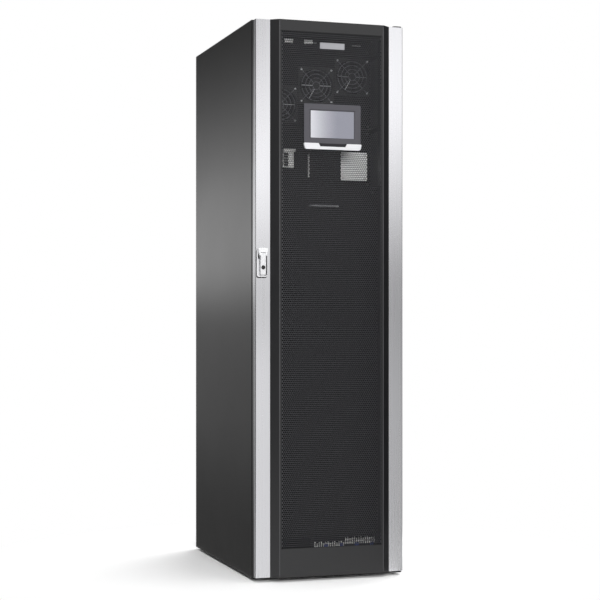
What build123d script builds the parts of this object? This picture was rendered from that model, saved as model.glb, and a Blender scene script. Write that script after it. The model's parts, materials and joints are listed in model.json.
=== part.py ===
"""Free-standing modular UPS cabinet with a perforated front door, in millimetres, Z up.

The cabinet faces -Y. It stands on its levelling feet at Z = 0, centred on the Z axis.
"""

import os

from build123d import *

os.makedirs("parts", exist_ok=True)

# Overall cabinet
cabinet_width = 488
cabinet_height = 1750
body_depth = 710  # front frame's face to the rear skin
floor_gap = 8  # clear height under the panels

# Sheet metal and frame
sheet = 1.5
roof_thickness = 2
panel_fold = 18  # depth of the folded edges of the side and rear panels
panel_gap = 0.5  # between two neighbouring panels
post_size = 36
post_wall = 2
base_height = 52
floor_sheet = 2
runner_leg = 16
runner_sheet = 2

# Levelling feet
foot_radius = 25
foot_sides = 12
foot_rim = 3
foot_neck_radius = 9
foot_inset = 46  # from the end of a base rail to the foot's centre

# Door
door_gap = 8  # between the door's back and the front frame
door_depth = 38  # trim's face to the door's back
door_bottom = 14
door_drop = 5  # door's top under the roof
end_plate = 4
trim_width = 47
trim_wall = 2.5
trim_lip = 12
trim_lip_sheet = 2
trim_corner = 2.5
trim_groove_depth = 1.5
trim_groove_width = 9
trim_groove_y = 3.5  # from the trim's face
panel_rise = 18  # raised panel in front of the trims
bevel_width = 23.5
bend_radius = 3
field_side_margin = 4.5
field_bottom_margin = 88
field_top_margin = 33
mesh_columns = 12
mesh_bar = 6  # sheet left between two openings
mesh_rows_low = 11
mesh_rows_beside = 1
mesh_rows_high = 2
stile_width = 38
stile_depth = 18
stile_end_gap = 26  # stiles stop short of the end plates, clear of the pins

# Door hinge
hinge_edge = 10  # from the door's right edge to the hinge axis
hinge_back = 20  # from the door's back to the hinge axis
pin_radius = 5
pin_clearance = 0.1
pin_reach = 12  # pin past the end plate
collar_radius = 8
thrust_gap = 0.3
bracket_plate = 3
bracket_gap = 1.5  # between the upper bracket and the door
bracket_width = 28
bracket_flange = 46
bracket_nose = 11  # bracket's front, from the hinge axis

# Operating display
display_width = 187
display_height = 123
display_drop = 258  # display's top under the door's top
display_rise = 4
display_corner = 4
display_body_inset = 10
display_body_depth = 30
screen_width = 143
screen_height = 85
screen_drop = 21  # screen's top under the display's top
screen_recess = 2.5
screen_slope = 4  # width of the sloped edge round the screen
screen_thickness = 1.2
screen_gap = 0.3
display_trim_overhang = 2
display_trim_height = 19
display_trim_rise = 8
display_trim_taper = 4
display_trim_corner = 7
display_trim_shoulder = 2.5
notch_top_width = 94
notch_bottom_width = 83
notch_depth = 10
status_rise = 5

# Swing handle on the left trim
handle_inset = 19  # handle's centre line from the door's left edge
handle_plate_width = 32
handle_plate_height = 90
handle_plate_centre = 991
handle_floor = 2  # floor of the handle's dish
handle_rim = 7  # height of the dish's rim
handle_rim_width = 2.5
handle_plate_corner = 6
head_gap = 0.5
head_top_width = 31
head_bottom_width = 22
head_height = 23
head_front = 20  # handle's face, from the trim's face
head_web = 2
head_top_drop = 1  # head's top under the plate's top
pivot_depth = 15  # lever pivot in front of the trim's face
pivot_drop = 18  # lever pivot under the head's top
pivot_radius = 2.5
knuckle_radius = 4
fork_gap = 0.3
spindle_radius = 7
lever_width = 16
lever_back = 12  # lever's back, in front of the trim's face
lever_tip_rise = 6  # lever's tip above the plate's lower end
lever_tip_radius = 3
lock_radius = 6.5
lock_rise_z = 29  # key cylinder above the plate's lower end
lock_depth = 5
lock_rise = 0.6
latch_width = 32
latch_height = 100
latch_depth = 15

# Modules behind the door
module_front = 92  # module fronts, behind the front frame's face
module_side_gap = 4  # to the posts
module_back_gap = 148  # module backs, in front of the rear skin
module_gap = 4
tray_drop = 12  # tray's top under the panels' top
tray_height = 64
tray_depth = 300
connection_height = 190
battery_front = 29
battery_back_gap = 121
battery_bottom = 120

# Fans of the power module
fan_edge = 3  # outer pockets to the module's sides
fan_wall = 3  # between two pockets
fan_bottom = 8  # lowest pocket above the module's bottom
fan_top = 5  # highest pocket under the module's top
fan_step_low = 65  # middle fan above the left one
fan_step_high = 34  # right fan above the middle one
fan_pocket_gap = 0.5
fan_rim = 3  # thinnest wall round the duct
fan_depth = 38
tip_gap = 6
hub_radius = 22
hub_depth = 20
hub_sides = 21
rotor_back_gap = 5
rotor_front_gap = 8
blade_count = 7
blade_chord = 24
blade_thickness = 2
blade_angle = 38
blade_root_depth = 1.5  # root sunk into the hub
shaft_radius = 3
shaft_clearance = 0.1
strut_width = 6
strut_depth = 5
guard_rings = 4
guard_sides = 20
guard_inset = 7  # outer ring inside the duct
guard_wire = 2
guard_tab = 4  # spokes' ends from the fan's corners

# Fittings on the module fronts
slot_cover_x = (-94, -28)
slot_cover_width = 58
slot_cover_height = 44
slot_cover_thickness = 2
slot_cover_rise = 32  # covers' centre above the tray's bottom
signal_x = -98
signal_rise = 84  # above the module's bottom
signal_width = 36
signal_height = 52
signal_depth = 12
socket_rows = 5
socket_width = 9
socket_height = 6
socket_depth = 5
socket_pitch_x = 15
socket_pitch_z = 9
card_x = -29
card_rise = 30  # above the module's bottom
card_height = 74
card_width = 3
card_depth = 12
grip_width = 97
grip_height = 6
grip_bar = 6
grip_reach = 25
grip_drop = 62  # under the battery module's top

# Cable terminals at the foot of the cabinet
terminal_edge_gap = 2  # last block to the right post
terminal_pitch = 15
terminal_gap = 1
terminal_count = 14
terminal_low = 18
terminal_high = 24
terminal_rise = 14  # above the floor sheet
terminal_depth = 30
terminal_front = 54  # behind the front frame's face
rail_height = 35
rail_thickness = 2
rail_foot = 24

# Rear exhaust
exhaust_side_margin = 55
exhaust_drop = 88  # under the panels' top
exhaust_height = 410

# Planes of the front and back faces
half_width = cabinet_width / 2
overall_depth = display_trim_rise + panel_rise + door_depth + door_gap + body_depth
trim_y = -overall_depth / 2 + display_trim_rise + panel_rise
panel_y = trim_y - panel_rise
door_back_y = trim_y + door_depth
frame_y = door_back_y + door_gap
rear_y = frame_y + body_depth
body_mid_y = frame_y + body_depth / 2
rear_post_y = rear_y - panel_fold - post_size
post_outer = half_width - panel_fold
post_inner = post_outer - post_size
post_mid = post_inner + post_size / 2
base_top = floor_gap + base_height
panel_top = cabinet_height - roof_thickness
module_y = frame_y + module_front
hinge_x = half_width - hinge_edge
hinge_y = door_back_y - hinge_back
trim_inner = half_width - trim_width
flat_half_width = trim_inner - panel_gap - bevel_width
field_half_width = flat_half_width - field_side_margin
door_top = cabinet_height - door_drop
field_bottom = door_bottom + field_bottom_margin
field_top = door_top - field_top_margin
display_top = door_top - display_drop
display_bottom = display_top - display_height
screen_top = display_top - screen_drop
screen_bottom = screen_top - screen_height
handle_x = handle_inset - half_width
lever_tip = handle_plate_centre - handle_plate_height / 2 + lever_tip_rise
lock_height = handle_plate_centre - handle_plate_height / 2 + lock_rise_z
head_top = handle_plate_centre + handle_plate_height / 2 - head_top_drop
head_z = head_top - head_height / 2
pivot_z = head_top - pivot_drop
pivot_y = trim_y - pivot_depth

# Modules, stacked down from the tray. The battery module takes the height that is left.
module_half_width = post_inner - module_side_gap
module_depth = body_depth - module_front - module_back_gap
fan_pocket = (2 * module_half_width - 2 * fan_edge - 2 * fan_wall) / 3
fan_size = fan_pocket - 2 * fan_pocket_gap
fan_duct_radius = fan_size / 2 - fan_rim
fan_pitch = fan_pocket + fan_wall
tray_top = panel_top - tray_drop
tray_bottom = tray_top - tray_height
power_top = tray_bottom - module_gap
power_bottom = power_top - fan_top - fan_pocket - fan_step_high - fan_step_low - fan_bottom
connection_top = power_bottom - module_gap
connection_bottom = connection_top - connection_height
battery_top = connection_bottom - module_gap
battery_depth = body_depth - battery_front - battery_back_gap
low_fan_z = power_bottom + fan_bottom + fan_pocket / 2
fan_centres = {
    "left": (-fan_pitch, low_fan_z),
    "middle": (0, low_fan_z + fan_step_low),
    "right": (fan_pitch, low_fan_z + fan_step_low + fan_step_high),
}


def across(y):
    """Plane across the cabinet at depth y. Its normal points out of the front."""
    return Plane.XZ.offset(-y)


def level(z):
    """Horizontal plane at height z."""
    return Plane.XY.offset(z)


def write(piece, node):
    """Labels a finished piece and writes its STEP file."""
    piece.part.label = node
    export_step(piece.part, f"parts/{node}.step")


# Levelling feet under the base's side rails
foot_y = (frame_y + foot_inset, rear_y - panel_fold - foot_inset)
foot_places = [(side * post_mid, y) for side in (-1, 1) for y in foot_y]
with BuildPart() as levelling_feet:
    with BuildSketch(level(0)):
        with Locations(foot_places):
            RegularPolygon(foot_radius, foot_sides)
    extrude(amount=foot_rim)
    for place in foot_places:
        with BuildSketch(level(foot_rim)):
            with Locations(place):
                RegularPolygon(foot_radius, foot_sides)
        with BuildSketch(level(floor_gap)):
            with Locations(place):
                RegularPolygon(foot_neck_radius, foot_sides)
        loft()
write(levelling_feet, "levelling_feet")


# Base: two box rails along the sides and two across, with the floor sheet on them
base_length = body_depth - panel_fold
base_mid_y = frame_y + base_length / 2
with BuildPart() as base_side_rails:
    with BuildSketch(across(frame_y)):
        with Locations([(side * post_mid, floor_gap + base_height / 2) for side in (-1, 1)]):
            Rectangle(post_size, base_height)
            Rectangle(post_size - 2 * post_wall, base_height - 2 * post_wall, mode=Mode.SUBTRACT)
    extrude(amount=-base_length)
write(base_side_rails, "base_side_rails")

cross_rail_y = (frame_y + post_size / 2, rear_post_y + post_size / 2)
with BuildPart() as base_cross_rails:
    with BuildSketch(Plane.YZ.offset(-post_inner)):
        with Locations([(y, floor_gap + base_height / 2) for y in cross_rail_y]):
            Rectangle(post_size, base_height)
            Rectangle(post_size - 2 * post_wall, base_height - 2 * post_wall, mode=Mode.SUBTRACT)
    extrude(amount=2 * post_inner)
write(base_cross_rails, "base_cross_rails")

with BuildPart() as floor_plate:
    with BuildSketch(level(base_top)):
        with Locations((0, base_mid_y)):
            Rectangle(2 * post_inner, base_length)
    extrude(amount=floor_sheet)
write(floor_plate, "floor_plate")


# Corner posts and the rails that tie them at the top
def post_pair(y):
    """Left and right square tube posts whose centres lie at depth y."""
    with BuildPart() as posts:
        with BuildSketch(level(base_top)):
            with Locations([(side * post_mid, y) for side in (-1, 1)]):
                Rectangle(post_size, post_size)
                Rectangle(post_size - 2 * post_wall, post_size - 2 * post_wall, mode=Mode.SUBTRACT)
        extrude(amount=panel_top - base_top)
    return posts


write(post_pair(cross_rail_y[0]), "front_posts")
write(post_pair(cross_rail_y[1]), "rear_posts")

with BuildPart() as top_rails:
    with BuildSketch(Plane.YZ.offset(-post_inner)):
        with Locations([(y, panel_top - post_size / 2) for y in cross_rail_y]):
            Rectangle(post_size, post_size)
            Rectangle(post_size - 2 * post_wall, post_size - 2 * post_wall, mode=Mode.SUBTRACT)
    extrude(amount=2 * post_inner)
write(top_rails, "top_rails")


# Angle runners that carry the modules between the posts
runner_levels = (battery_bottom, connection_bottom, power_bottom, tray_bottom)
runner_length = rear_post_y + post_size / 2 - frame_y - post_size / 2
with BuildPart() as module_runners:
    with BuildSketch(across(frame_y + post_size / 2)):
        for top in runner_levels:
            for side in (-1, 1):
                with Locations((side * (post_inner - runner_leg / 2), top - runner_sheet / 2)):
                    Rectangle(runner_leg, runner_sheet)
                with Locations((side * (post_inner - runner_sheet / 2), top - runner_leg / 2)):
                    Rectangle(runner_sheet, runner_leg)
    extrude(amount=-runner_length)
write(module_runners, "module_runners")


# Folded side panels, roof and rear panel
for name, side in (("left", -1), ("right", 1)):
    panel_mid_z = (floor_gap + panel_top) / 2
    skin = Plane((side * half_width, body_mid_y, panel_mid_z), x_dir=(0, 1, 0), z_dir=(-side, 0, 0))
    with BuildPart() as side_panel:
        with BuildSketch(skin):
            Rectangle(body_depth, panel_top - floor_gap)
        extrude(amount=panel_fold)
        inside = side_panel.faces().sort_by(Axis.X)[0 if side > 0 else -1]
        offset(amount=-sheet, openings=inside)
    write(side_panel, f"{name}_side_panel")

with BuildPart() as roof_panel:
    with BuildSketch(level(panel_top)):
        with Locations((0, body_mid_y)):
            Rectangle(cabinet_width, body_depth)
    extrude(amount=roof_thickness)
write(roof_panel, "roof_panel")

rear_width = 2 * (post_outer - panel_gap)
exhaust_width = rear_width - 2 * exhaust_side_margin
exhaust_mid = panel_top - exhaust_drop - exhaust_height / 2
with BuildPart() as rear_panel:
    with BuildSketch(across(rear_y)):
        with Locations((0, panel_mid_z)):
            Rectangle(rear_width, panel_top - floor_gap)
    extrude(amount=panel_fold)
    offset(amount=-sheet, openings=rear_panel.faces().sort_by(Axis.Y)[0])
    with BuildSketch(across(rear_y)):
        with Locations((0, exhaust_mid)):
            Rectangle(exhaust_width, exhaust_height)
    extrude(amount=sheet, mode=Mode.SUBTRACT)
write(rear_panel, "rear_panel")

with BuildPart() as rear_exhaust_grille:
    with BuildSketch(across(rear_y)):
        with Locations((0, exhaust_mid)):
            Rectangle(exhaust_width, exhaust_height)
    extrude(amount=sheet)
write(rear_exhaust_grille, "rear_exhaust_grille")


# Hinge brackets on the right front corner, each with its pin
bracket_x = half_width - bracket_width / 2
bracket_front_y = hinge_y - bracket_nose
upper_bracket_z = door_top + bracket_gap
collar_top = door_bottom - thrust_gap
with BuildPart() as hinge_brackets:
    with BuildSketch(level(floor_gap), level(upper_bracket_z)):
        with Locations((bracket_x, (bracket_front_y + frame_y) / 2)):
            Rectangle(bracket_width, frame_y - bracket_front_y)
    extrude(amount=bracket_plate)
    with BuildSketch(across(frame_y)):
        with Locations((bracket_x, floor_gap + bracket_flange / 2)):
            Rectangle(bracket_width, bracket_flange)
        with Locations((bracket_x, upper_bracket_z + bracket_plate - bracket_flange / 2)):
            Rectangle(bracket_width, bracket_flange)
    extrude(amount=bracket_plate)
    with BuildSketch(level(floor_gap)):
        with Locations((hinge_x, hinge_y)):
            Circle(pin_radius)
    extrude(amount=door_bottom + end_plate + pin_reach - floor_gap)
    with BuildSketch(level(floor_gap)):
        with Locations((hinge_x, hinge_y)):
            Circle(collar_radius)
    extrude(amount=collar_top - floor_gap)
    with BuildSketch(level(upper_bracket_z + bracket_plate)):
        with Locations((hinge_x, hinge_y)):
            Circle(pin_radius)
    extrude(amount=-(upper_bracket_z + bracket_plate - door_top + end_plate + pin_reach))
    corners = hinge_brackets.edges().filter_by(Axis.Z).group_by(Axis.Y)[0]
    fillet(corners, bracket_plate * 2)
write(hinge_brackets, "hinge_brackets")


# Communication tray with its two slot covers
with BuildPart() as communication_tray:
    with BuildSketch(across(module_y)):
        with Locations((0, (tray_bottom + tray_top) / 2)):
            Rectangle(2 * module_half_width, tray_top - tray_bottom)
    extrude(amount=-tray_depth)
write(communication_tray, "communication_tray")

with BuildPart() as slot_covers:
    with BuildSketch(across(module_y)):
        with Locations([(x, tray_bottom + slot_cover_rise) for x in slot_cover_x]):
            RectangleRounded(slot_cover_width, slot_cover_height, slot_cover_thickness)
    extrude(amount=slot_cover_thickness)
write(slot_covers, "slot_covers")


# Power module with a square pocket for each fan
with BuildPart() as power_module:
    with BuildSketch(across(module_y)):
        with Locations((0, (power_bottom + power_top) / 2)):
            Rectangle(2 * module_half_width, power_top - power_bottom)
    extrude(amount=-module_depth)
    with BuildSketch(across(module_y)):
        with Locations([centre for centre in fan_centres.values()]):
            Rectangle(fan_size + 2 * fan_pocket_gap, fan_size + 2 * fan_pocket_gap)
    extrude(amount=-fan_depth, mode=Mode.SUBTRACT)
write(power_module, "power_module")


# Fans: square frame with struts and shaft, swept rotor, finger guard
rotor_back = fan_depth - strut_depth - rotor_back_gap
blade_tip = fan_duct_radius - tip_gap
blade_mid = rotor_back - hub_depth / 2

with BuildPart() as fan_blade:
    with BuildSketch(Plane((hub_radius - blade_root_depth, 0, -blade_mid), x_dir=(0, 1, 0), z_dir=(1, 0, 0))):
        Rectangle(blade_chord, blade_thickness, rotation=blade_angle)
    extrude(amount=blade_tip - hub_radius + blade_root_depth)

for name, (fan_x, fan_z) in fan_centres.items():
    # The fan's own plane lies on the module's front, its normal out of the front
    fan_plane = Plane((fan_x, module_y, fan_z), x_dir=(1, 0, 0), z_dir=(0, -1, 0))

    with BuildPart(fan_plane) as fan_frame:
        with BuildSketch(fan_plane):
            Rectangle(fan_size, fan_size)
            Circle(fan_duct_radius, mode=Mode.SUBTRACT)
        extrude(amount=-fan_depth)
        with BuildSketch(fan_plane.offset(-fan_depth)):
            RegularPolygon(hub_radius, hub_sides)
            for angle in (45, 135):
                Rectangle(2 * fan_duct_radius + 2, strut_width, rotation=angle)
        extrude(amount=strut_depth)
        with BuildSketch(fan_plane.offset(-fan_depth)):
            Circle(shaft_radius)
        extrude(amount=fan_depth - rotor_front_gap)
    write(fan_frame, f"fan_frame_{name}")

    with BuildPart(fan_plane) as fan_rotor:
        with BuildSketch(fan_plane.offset(-rotor_back)):
            RegularPolygon(hub_radius, hub_sides)
        extrude(amount=hub_depth)
        with PolarLocations(0, blade_count):
            add(fan_blade.part)
        with BuildSketch(fan_plane.offset(-rotor_back)):
            Circle(shaft_radius + shaft_clearance)
        extrude(amount=fan_depth, mode=Mode.SUBTRACT)
    write(fan_rotor, f"fan_rotor_{name}")

    with BuildPart(fan_plane) as finger_guard:
        with BuildSketch(fan_plane):
            for ring in range(1, guard_rings + 1):
                radius = (fan_duct_radius - guard_inset) * ring / guard_rings
                RegularPolygon(radius + guard_wire / 2, guard_sides)
                RegularPolygon(radius - guard_wire / 2, guard_sides, mode=Mode.SUBTRACT)
            Rectangle(2 * (fan_duct_radius - guard_inset), guard_wire)
            for angle in (45, 135):
                Rectangle(fan_size * 2**0.5 - 2 * guard_tab, guard_wire, rotation=angle)
        extrude(amount=guard_wire)
    write(finger_guard, f"finger_guard_{name}")


# Connection module with its signal terminals and card
with BuildPart() as connection_module:
    with BuildSketch(across(module_y)):
        with Locations((0, (connection_bottom + connection_top) / 2)):
            Rectangle(2 * module_half_width, connection_top - connection_bottom)
    extrude(amount=-module_depth)
write(connection_module, "connection_module")

with BuildPart() as signal_terminals:
    with BuildSketch(across(module_y)):
        with Locations((signal_x, connection_bottom + signal_rise)):
            Rectangle(signal_width, signal_height)
    extrude(amount=signal_depth)
    with BuildSketch(across(module_y - signal_depth)):
        with Locations((signal_x, connection_bottom + signal_rise)):
            with GridLocations(socket_pitch_x, socket_pitch_z, 2, socket_rows):
                Rectangle(socket_width, socket_height)
    extrude(amount=-socket_depth, mode=Mode.SUBTRACT)
write(signal_terminals, "signal_terminals")

with BuildPart() as interface_card:
    with BuildSketch(across(module_y)):
        with Locations((card_x, connection_bottom + card_rise + card_height / 2)):
            Rectangle(card_width, card_height)
    extrude(amount=card_depth)
write(interface_card, "interface_card")


# Battery module with its grip
battery_y = frame_y + battery_front
with BuildPart() as battery_module:
    with BuildSketch(across(battery_y)):
        with Locations((0, (battery_bottom + battery_top) / 2)):
            Rectangle(2 * module_half_width, battery_top - battery_bottom)
    extrude(amount=-battery_depth)
write(battery_module, "battery_module")

with BuildPart() as battery_grip:
    with BuildSketch(level(battery_top - grip_drop - grip_height / 2)):
        with Locations((0, battery_y - grip_reach / 2)):
            Rectangle(grip_width, grip_reach)
        with Locations((0, battery_y - (grip_reach - grip_bar) / 2)):
            Rectangle(grip_width - 2 * grip_bar, grip_reach - grip_bar, mode=Mode.SUBTRACT)
    extrude(amount=grip_height)
    fillet(battery_grip.edges().filter_by(Axis.Z).group_by(Axis.Y)[0], grip_bar)
write(battery_grip, "battery_grip")


# Terminal rail and blocks above the floor sheet
terminal_y = frame_y + terminal_front
terminal_length = terminal_count * terminal_pitch
terminal_start = post_inner - terminal_edge_gap - terminal_length
terminal_bottom = base_top + floor_sheet + terminal_rise
rail_y = terminal_y + terminal_depth
with BuildPart() as terminal_rail:
    with BuildSketch(Plane.YZ.offset(terminal_start)):
        with BuildLine():
            Polyline(
                (rail_y, terminal_bottom + rail_height),
                (rail_y, base_top + floor_sheet),
                (rail_y + rail_foot, base_top + floor_sheet),
                (rail_y + rail_foot, base_top + floor_sheet + rail_thickness),
                (rail_y + rail_thickness, base_top + floor_sheet + rail_thickness),
                (rail_y + rail_thickness, terminal_bottom + rail_height),
                close=True,
            )
        make_face()
    extrude(amount=terminal_length)
write(terminal_rail, "terminal_rail")

with BuildPart() as terminal_blocks:
    with BuildSketch(across(rail_y)):
        for number in range(terminal_count):
            height = terminal_low if number < terminal_count / 2 else terminal_high
            x = terminal_start + (number + 0.5) * terminal_pitch
            with Locations((x, terminal_bottom + height / 2)):
                Rectangle(terminal_pitch - terminal_gap, height)
    extrude(amount=terminal_depth)
write(terminal_blocks, "terminal_blocks")


# Door trims: aluminium profiles with a shadow groove down the side
for name, side in (("left", -1), ("right", 1)):
    with BuildPart() as door_trim:
        with BuildSketch(level(door_bottom)) as profile:
            with BuildLine():
                Polyline(
                    (half_width, trim_y),
                    (half_width, trim_y + trim_groove_y),
                    (half_width - trim_groove_depth, trim_y + trim_groove_y),
                    (half_width - trim_groove_depth, trim_y + trim_groove_y + trim_groove_width),
                    (half_width, trim_y + trim_groove_y + trim_groove_width),
                    (half_width, door_back_y),
                    (half_width - trim_wall - trim_lip, door_back_y),
                    (half_width - trim_wall - trim_lip, door_back_y - trim_lip_sheet),
                    (half_width - trim_wall, door_back_y - trim_lip_sheet),
                    (half_width - trim_wall, trim_y + trim_wall),
                    (trim_inner, trim_y + trim_wall),
                    (trim_inner, trim_y),
                    close=True,
                )
            make_face()
            front_corner = profile.vertices().group_by(Axis.Y)[0].sort_by(Axis.X)[-1]
            fillet(front_corner, trim_corner)
            if side < 0:
                mirror(about=Plane.YZ, mode=Mode.REPLACE)
        extrude(amount=door_top - door_bottom)
    write(door_trim, f"door_{name}_trim")


# Door end plates, which close the raised panel and take the hinge pins
plate_back_y = door_back_y - trim_lip_sheet
plate_half_width = half_width - trim_wall
with BuildPart() as door_end_plates:
    with BuildSketch(level(door_bottom), level(door_top - end_plate)) as plate_outline:
        with BuildLine():
            Polyline(
                (plate_half_width, plate_back_y),
                (plate_half_width, trim_y + trim_wall),
                (trim_inner - panel_gap, trim_y + trim_wall),
                (trim_inner - panel_gap, trim_y),
                (flat_half_width, panel_y),
                (-flat_half_width, panel_y),
                (panel_gap - trim_inner, trim_y),
                (panel_gap - trim_inner, trim_y + trim_wall),
                (-plate_half_width, trim_y + trim_wall),
                (-plate_half_width, plate_back_y),
                close=True,
            )
        make_face()
        fillet(plate_outline.vertices().group_by(Axis.Y)[0], bend_radius)
        with Locations((hinge_x, hinge_y)):
            Circle(pin_radius + pin_clearance, mode=Mode.SUBTRACT)
    extrude(amount=end_plate)
write(door_end_plates, "door_end_plates")


# Bent door panel, with the window for its perforated field
panel_low = door_bottom + end_plate
panel_height = door_top - door_bottom - 2 * end_plate
field_mid = (field_bottom + field_top) / 2
with BuildPart() as door_panel:
    with BuildSketch(level(panel_low)):
        with BuildLine():
            Polyline(
                (trim_inner - panel_gap, plate_back_y),
                (trim_inner - panel_gap, trim_y),
                (flat_half_width, panel_y),
                (-flat_half_width, panel_y),
                (panel_gap - trim_inner, trim_y),
                (panel_gap - trim_inner, plate_back_y),
                close=True,
            )
        make_face()
    extrude(amount=panel_height)
    fillet(door_panel.edges().filter_by(Axis.Z).sort_by(Axis.Y)[:4], bend_radius)
    ends = door_panel.faces().filter_by(Axis.Z)
    back = door_panel.faces().sort_by(Axis.Y)[-1]
    offset(amount=-sheet, openings=[*ends, back])
    with BuildSketch(across(panel_y)):
        with Locations((0, field_mid)):
            Rectangle(2 * field_half_width, field_top - field_bottom)
    extrude(amount=-sheet, mode=Mode.SUBTRACT)
write(door_panel, "door_panel")

display_mid = (display_bottom + display_top) / 2
body_width = display_width - 2 * display_body_inset
body_height = display_top - display_bottom - 2 * display_body_inset
trim_half = display_width / 2 + display_trim_overhang
display_trim_bottom = display_bottom - display_trim_height
mesh_pitch = (2 * field_half_width - mesh_bar) / mesh_columns
mesh_x = [(column - (mesh_columns - 1) / 2) * mesh_pitch for column in range(mesh_columns)]
beside_display = [x for x in mesh_x if abs(x) - mesh_pitch / 2 > trim_half]
mesh_bands = (
    (field_bottom, display_trim_bottom, mesh_rows_low, mesh_x),
    (display_trim_bottom, display_top, mesh_rows_beside, beside_display),
    (display_top, field_top, mesh_rows_high, mesh_x),
)
with BuildPart() as door_perforated_sheet:
    with BuildSketch(across(panel_y)):
        with Locations((0, field_mid)):
            Rectangle(2 * field_half_width, field_top - field_bottom)
        for low, high, rows, columns in mesh_bands:
            row_pitch = (high - low - mesh_bar) / rows
            first_row = low + mesh_bar / 2 + row_pitch / 2
            with Locations([(x, first_row + row * row_pitch) for x in columns for row in range(rows)]):
                Rectangle(mesh_pitch - mesh_bar, row_pitch - mesh_bar, mode=Mode.SUBTRACT)
        with Locations((0, display_mid)):
            Rectangle(body_width, body_height, mode=Mode.SUBTRACT)
    extrude(amount=-sheet)
write(door_perforated_sheet, "door_perforated_sheet")

with BuildPart() as door_stiles:
    with BuildSketch(level(panel_low + stile_end_gap)):
        stile_x = half_width - trim_wall - stile_width / 2
        with Locations([(side * stile_x, trim_y + trim_wall + stile_depth / 2) for side in (-1, 1)]):
            Rectangle(stile_width, stile_depth)
            Rectangle(stile_width - 2 * post_wall, stile_depth - 2 * post_wall, mode=Mode.SUBTRACT)
    extrude(amount=panel_height - 2 * stile_end_gap)
write(door_stiles, "door_stiles")


# Operating display: housing, screen, lower trim and status strip
screen_mid = (screen_bottom + screen_top) / 2
with BuildPart() as display_housing:
    with BuildSketch(across(panel_y)):
        with Locations((0, display_mid)):
            RectangleRounded(display_width, display_top - display_bottom, display_corner)
    extrude(amount=display_rise)
    with BuildSketch(across(panel_y)):
        with Locations((0, display_mid)):
            Rectangle(body_width, body_height)
    extrude(amount=-display_body_depth)
    with BuildSketch(across(panel_y - display_rise)):
        with Locations((0, screen_mid)):
            Rectangle(screen_width + 2 * screen_slope, screen_height + 2 * screen_slope)
    with BuildSketch(across(panel_y - display_rise + screen_recess)):
        with Locations((0, screen_mid)):
            Rectangle(screen_width, screen_height)
    loft(mode=Mode.SUBTRACT)
write(display_housing, "display_housing")

with BuildPart() as display_screen:
    with BuildSketch(across(panel_y - display_rise + screen_recess)):
        with Locations((0, screen_mid)):
            Rectangle(screen_width - 2 * screen_gap, screen_height - 2 * screen_gap)
    extrude(amount=screen_thickness)
write(display_screen, "display_screen")

with BuildPart() as display_trim:
    with BuildSketch(across(panel_y)) as trim_face:
        with BuildLine():
            Polyline(
                (-trim_half, display_bottom),
                (-trim_half + display_trim_taper, display_trim_bottom),
                (trim_half - display_trim_taper, display_trim_bottom),
                (trim_half, display_bottom),
                (notch_top_width / 2, display_bottom),
                (notch_bottom_width / 2, display_bottom - notch_depth),
                (-notch_bottom_width / 2, display_bottom - notch_depth),
                (-notch_top_width / 2, display_bottom),
                close=True,
            )
        make_face()
        shoulders = trim_face.vertices().group_by(Axis.Y)[-1].sort_by(Axis.X)
        fillet([shoulders[0], shoulders[-1]], display_trim_shoulder)
        fillet(trim_face.vertices().group_by(Axis.Y)[0], display_trim_corner)
    extrude(amount=display_trim_rise)
write(display_trim, "display_trim")

with BuildPart() as status_strip:
    with BuildSketch(across(panel_y)):
        with BuildLine():
            Polyline(
                (notch_top_width / 2, display_bottom),
                (notch_bottom_width / 2, display_bottom - notch_depth),
                (-notch_bottom_width / 2, display_bottom - notch_depth),
                (-notch_top_width / 2, display_bottom),
                close=True,
            )
        make_face()
    extrude(amount=status_rise)
write(status_strip, "status_strip")


# Swing handle: plate, turning head, lifting lever, key cylinder and the latch case behind
with BuildPart() as handle_plate:
    with BuildSketch(across(trim_y)):
        with Locations((handle_x, handle_plate_centre)):
            RectangleRounded(handle_plate_width, handle_plate_height, handle_plate_corner)
    extrude(amount=handle_rim)
    with BuildSketch(across(trim_y - handle_floor)):
        with Locations((handle_x, handle_plate_centre)):
            RectangleRounded(
                handle_plate_width - 2 * handle_rim_width,
                handle_plate_height - 2 * handle_rim_width,
                handle_plate_corner - handle_rim_width,
            )
    extrude(amount=handle_rim, mode=Mode.SUBTRACT)
    with BuildSketch(across(trim_y)):
        with Locations((handle_x, head_z)):
            Circle(spindle_radius + pin_clearance)
    extrude(amount=handle_rim, mode=Mode.SUBTRACT)
write(handle_plate, "handle_plate")

head_back = handle_rim + head_gap
fork_width = lever_width + 2 * fork_gap
with BuildPart() as handle_head:
    with BuildSketch(across(trim_y - head_back)):
        with BuildLine():
            Polyline(
                (handle_x - head_top_width / 2, head_top),
                (handle_x + head_top_width / 2, head_top),
                (handle_x + head_bottom_width / 2, head_top - head_height),
                (handle_x - head_bottom_width / 2, head_top - head_height),
                close=True,
            )
        make_face()
    extrude(amount=head_front - head_back)
    with BuildSketch(across(trim_y - head_back - head_web)):
        with Locations((handle_x, pivot_z - head_height / 2)):
            Rectangle(fork_width, head_height + 2 * knuckle_radius + 2 * fork_gap)
    extrude(amount=head_front, mode=Mode.SUBTRACT)
    with BuildSketch(Plane.YZ.offset(handle_x - fork_width / 2)):
        with Locations((pivot_y, pivot_z)):
            Circle(pivot_radius)
    extrude(amount=fork_width)
    with BuildSketch(across(trim_y - thrust_gap)):
        with Locations((handle_x, head_z)):
            Circle(spindle_radius)
    extrude(amount=head_back - thrust_gap)
write(handle_head, "handle_head")

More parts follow.
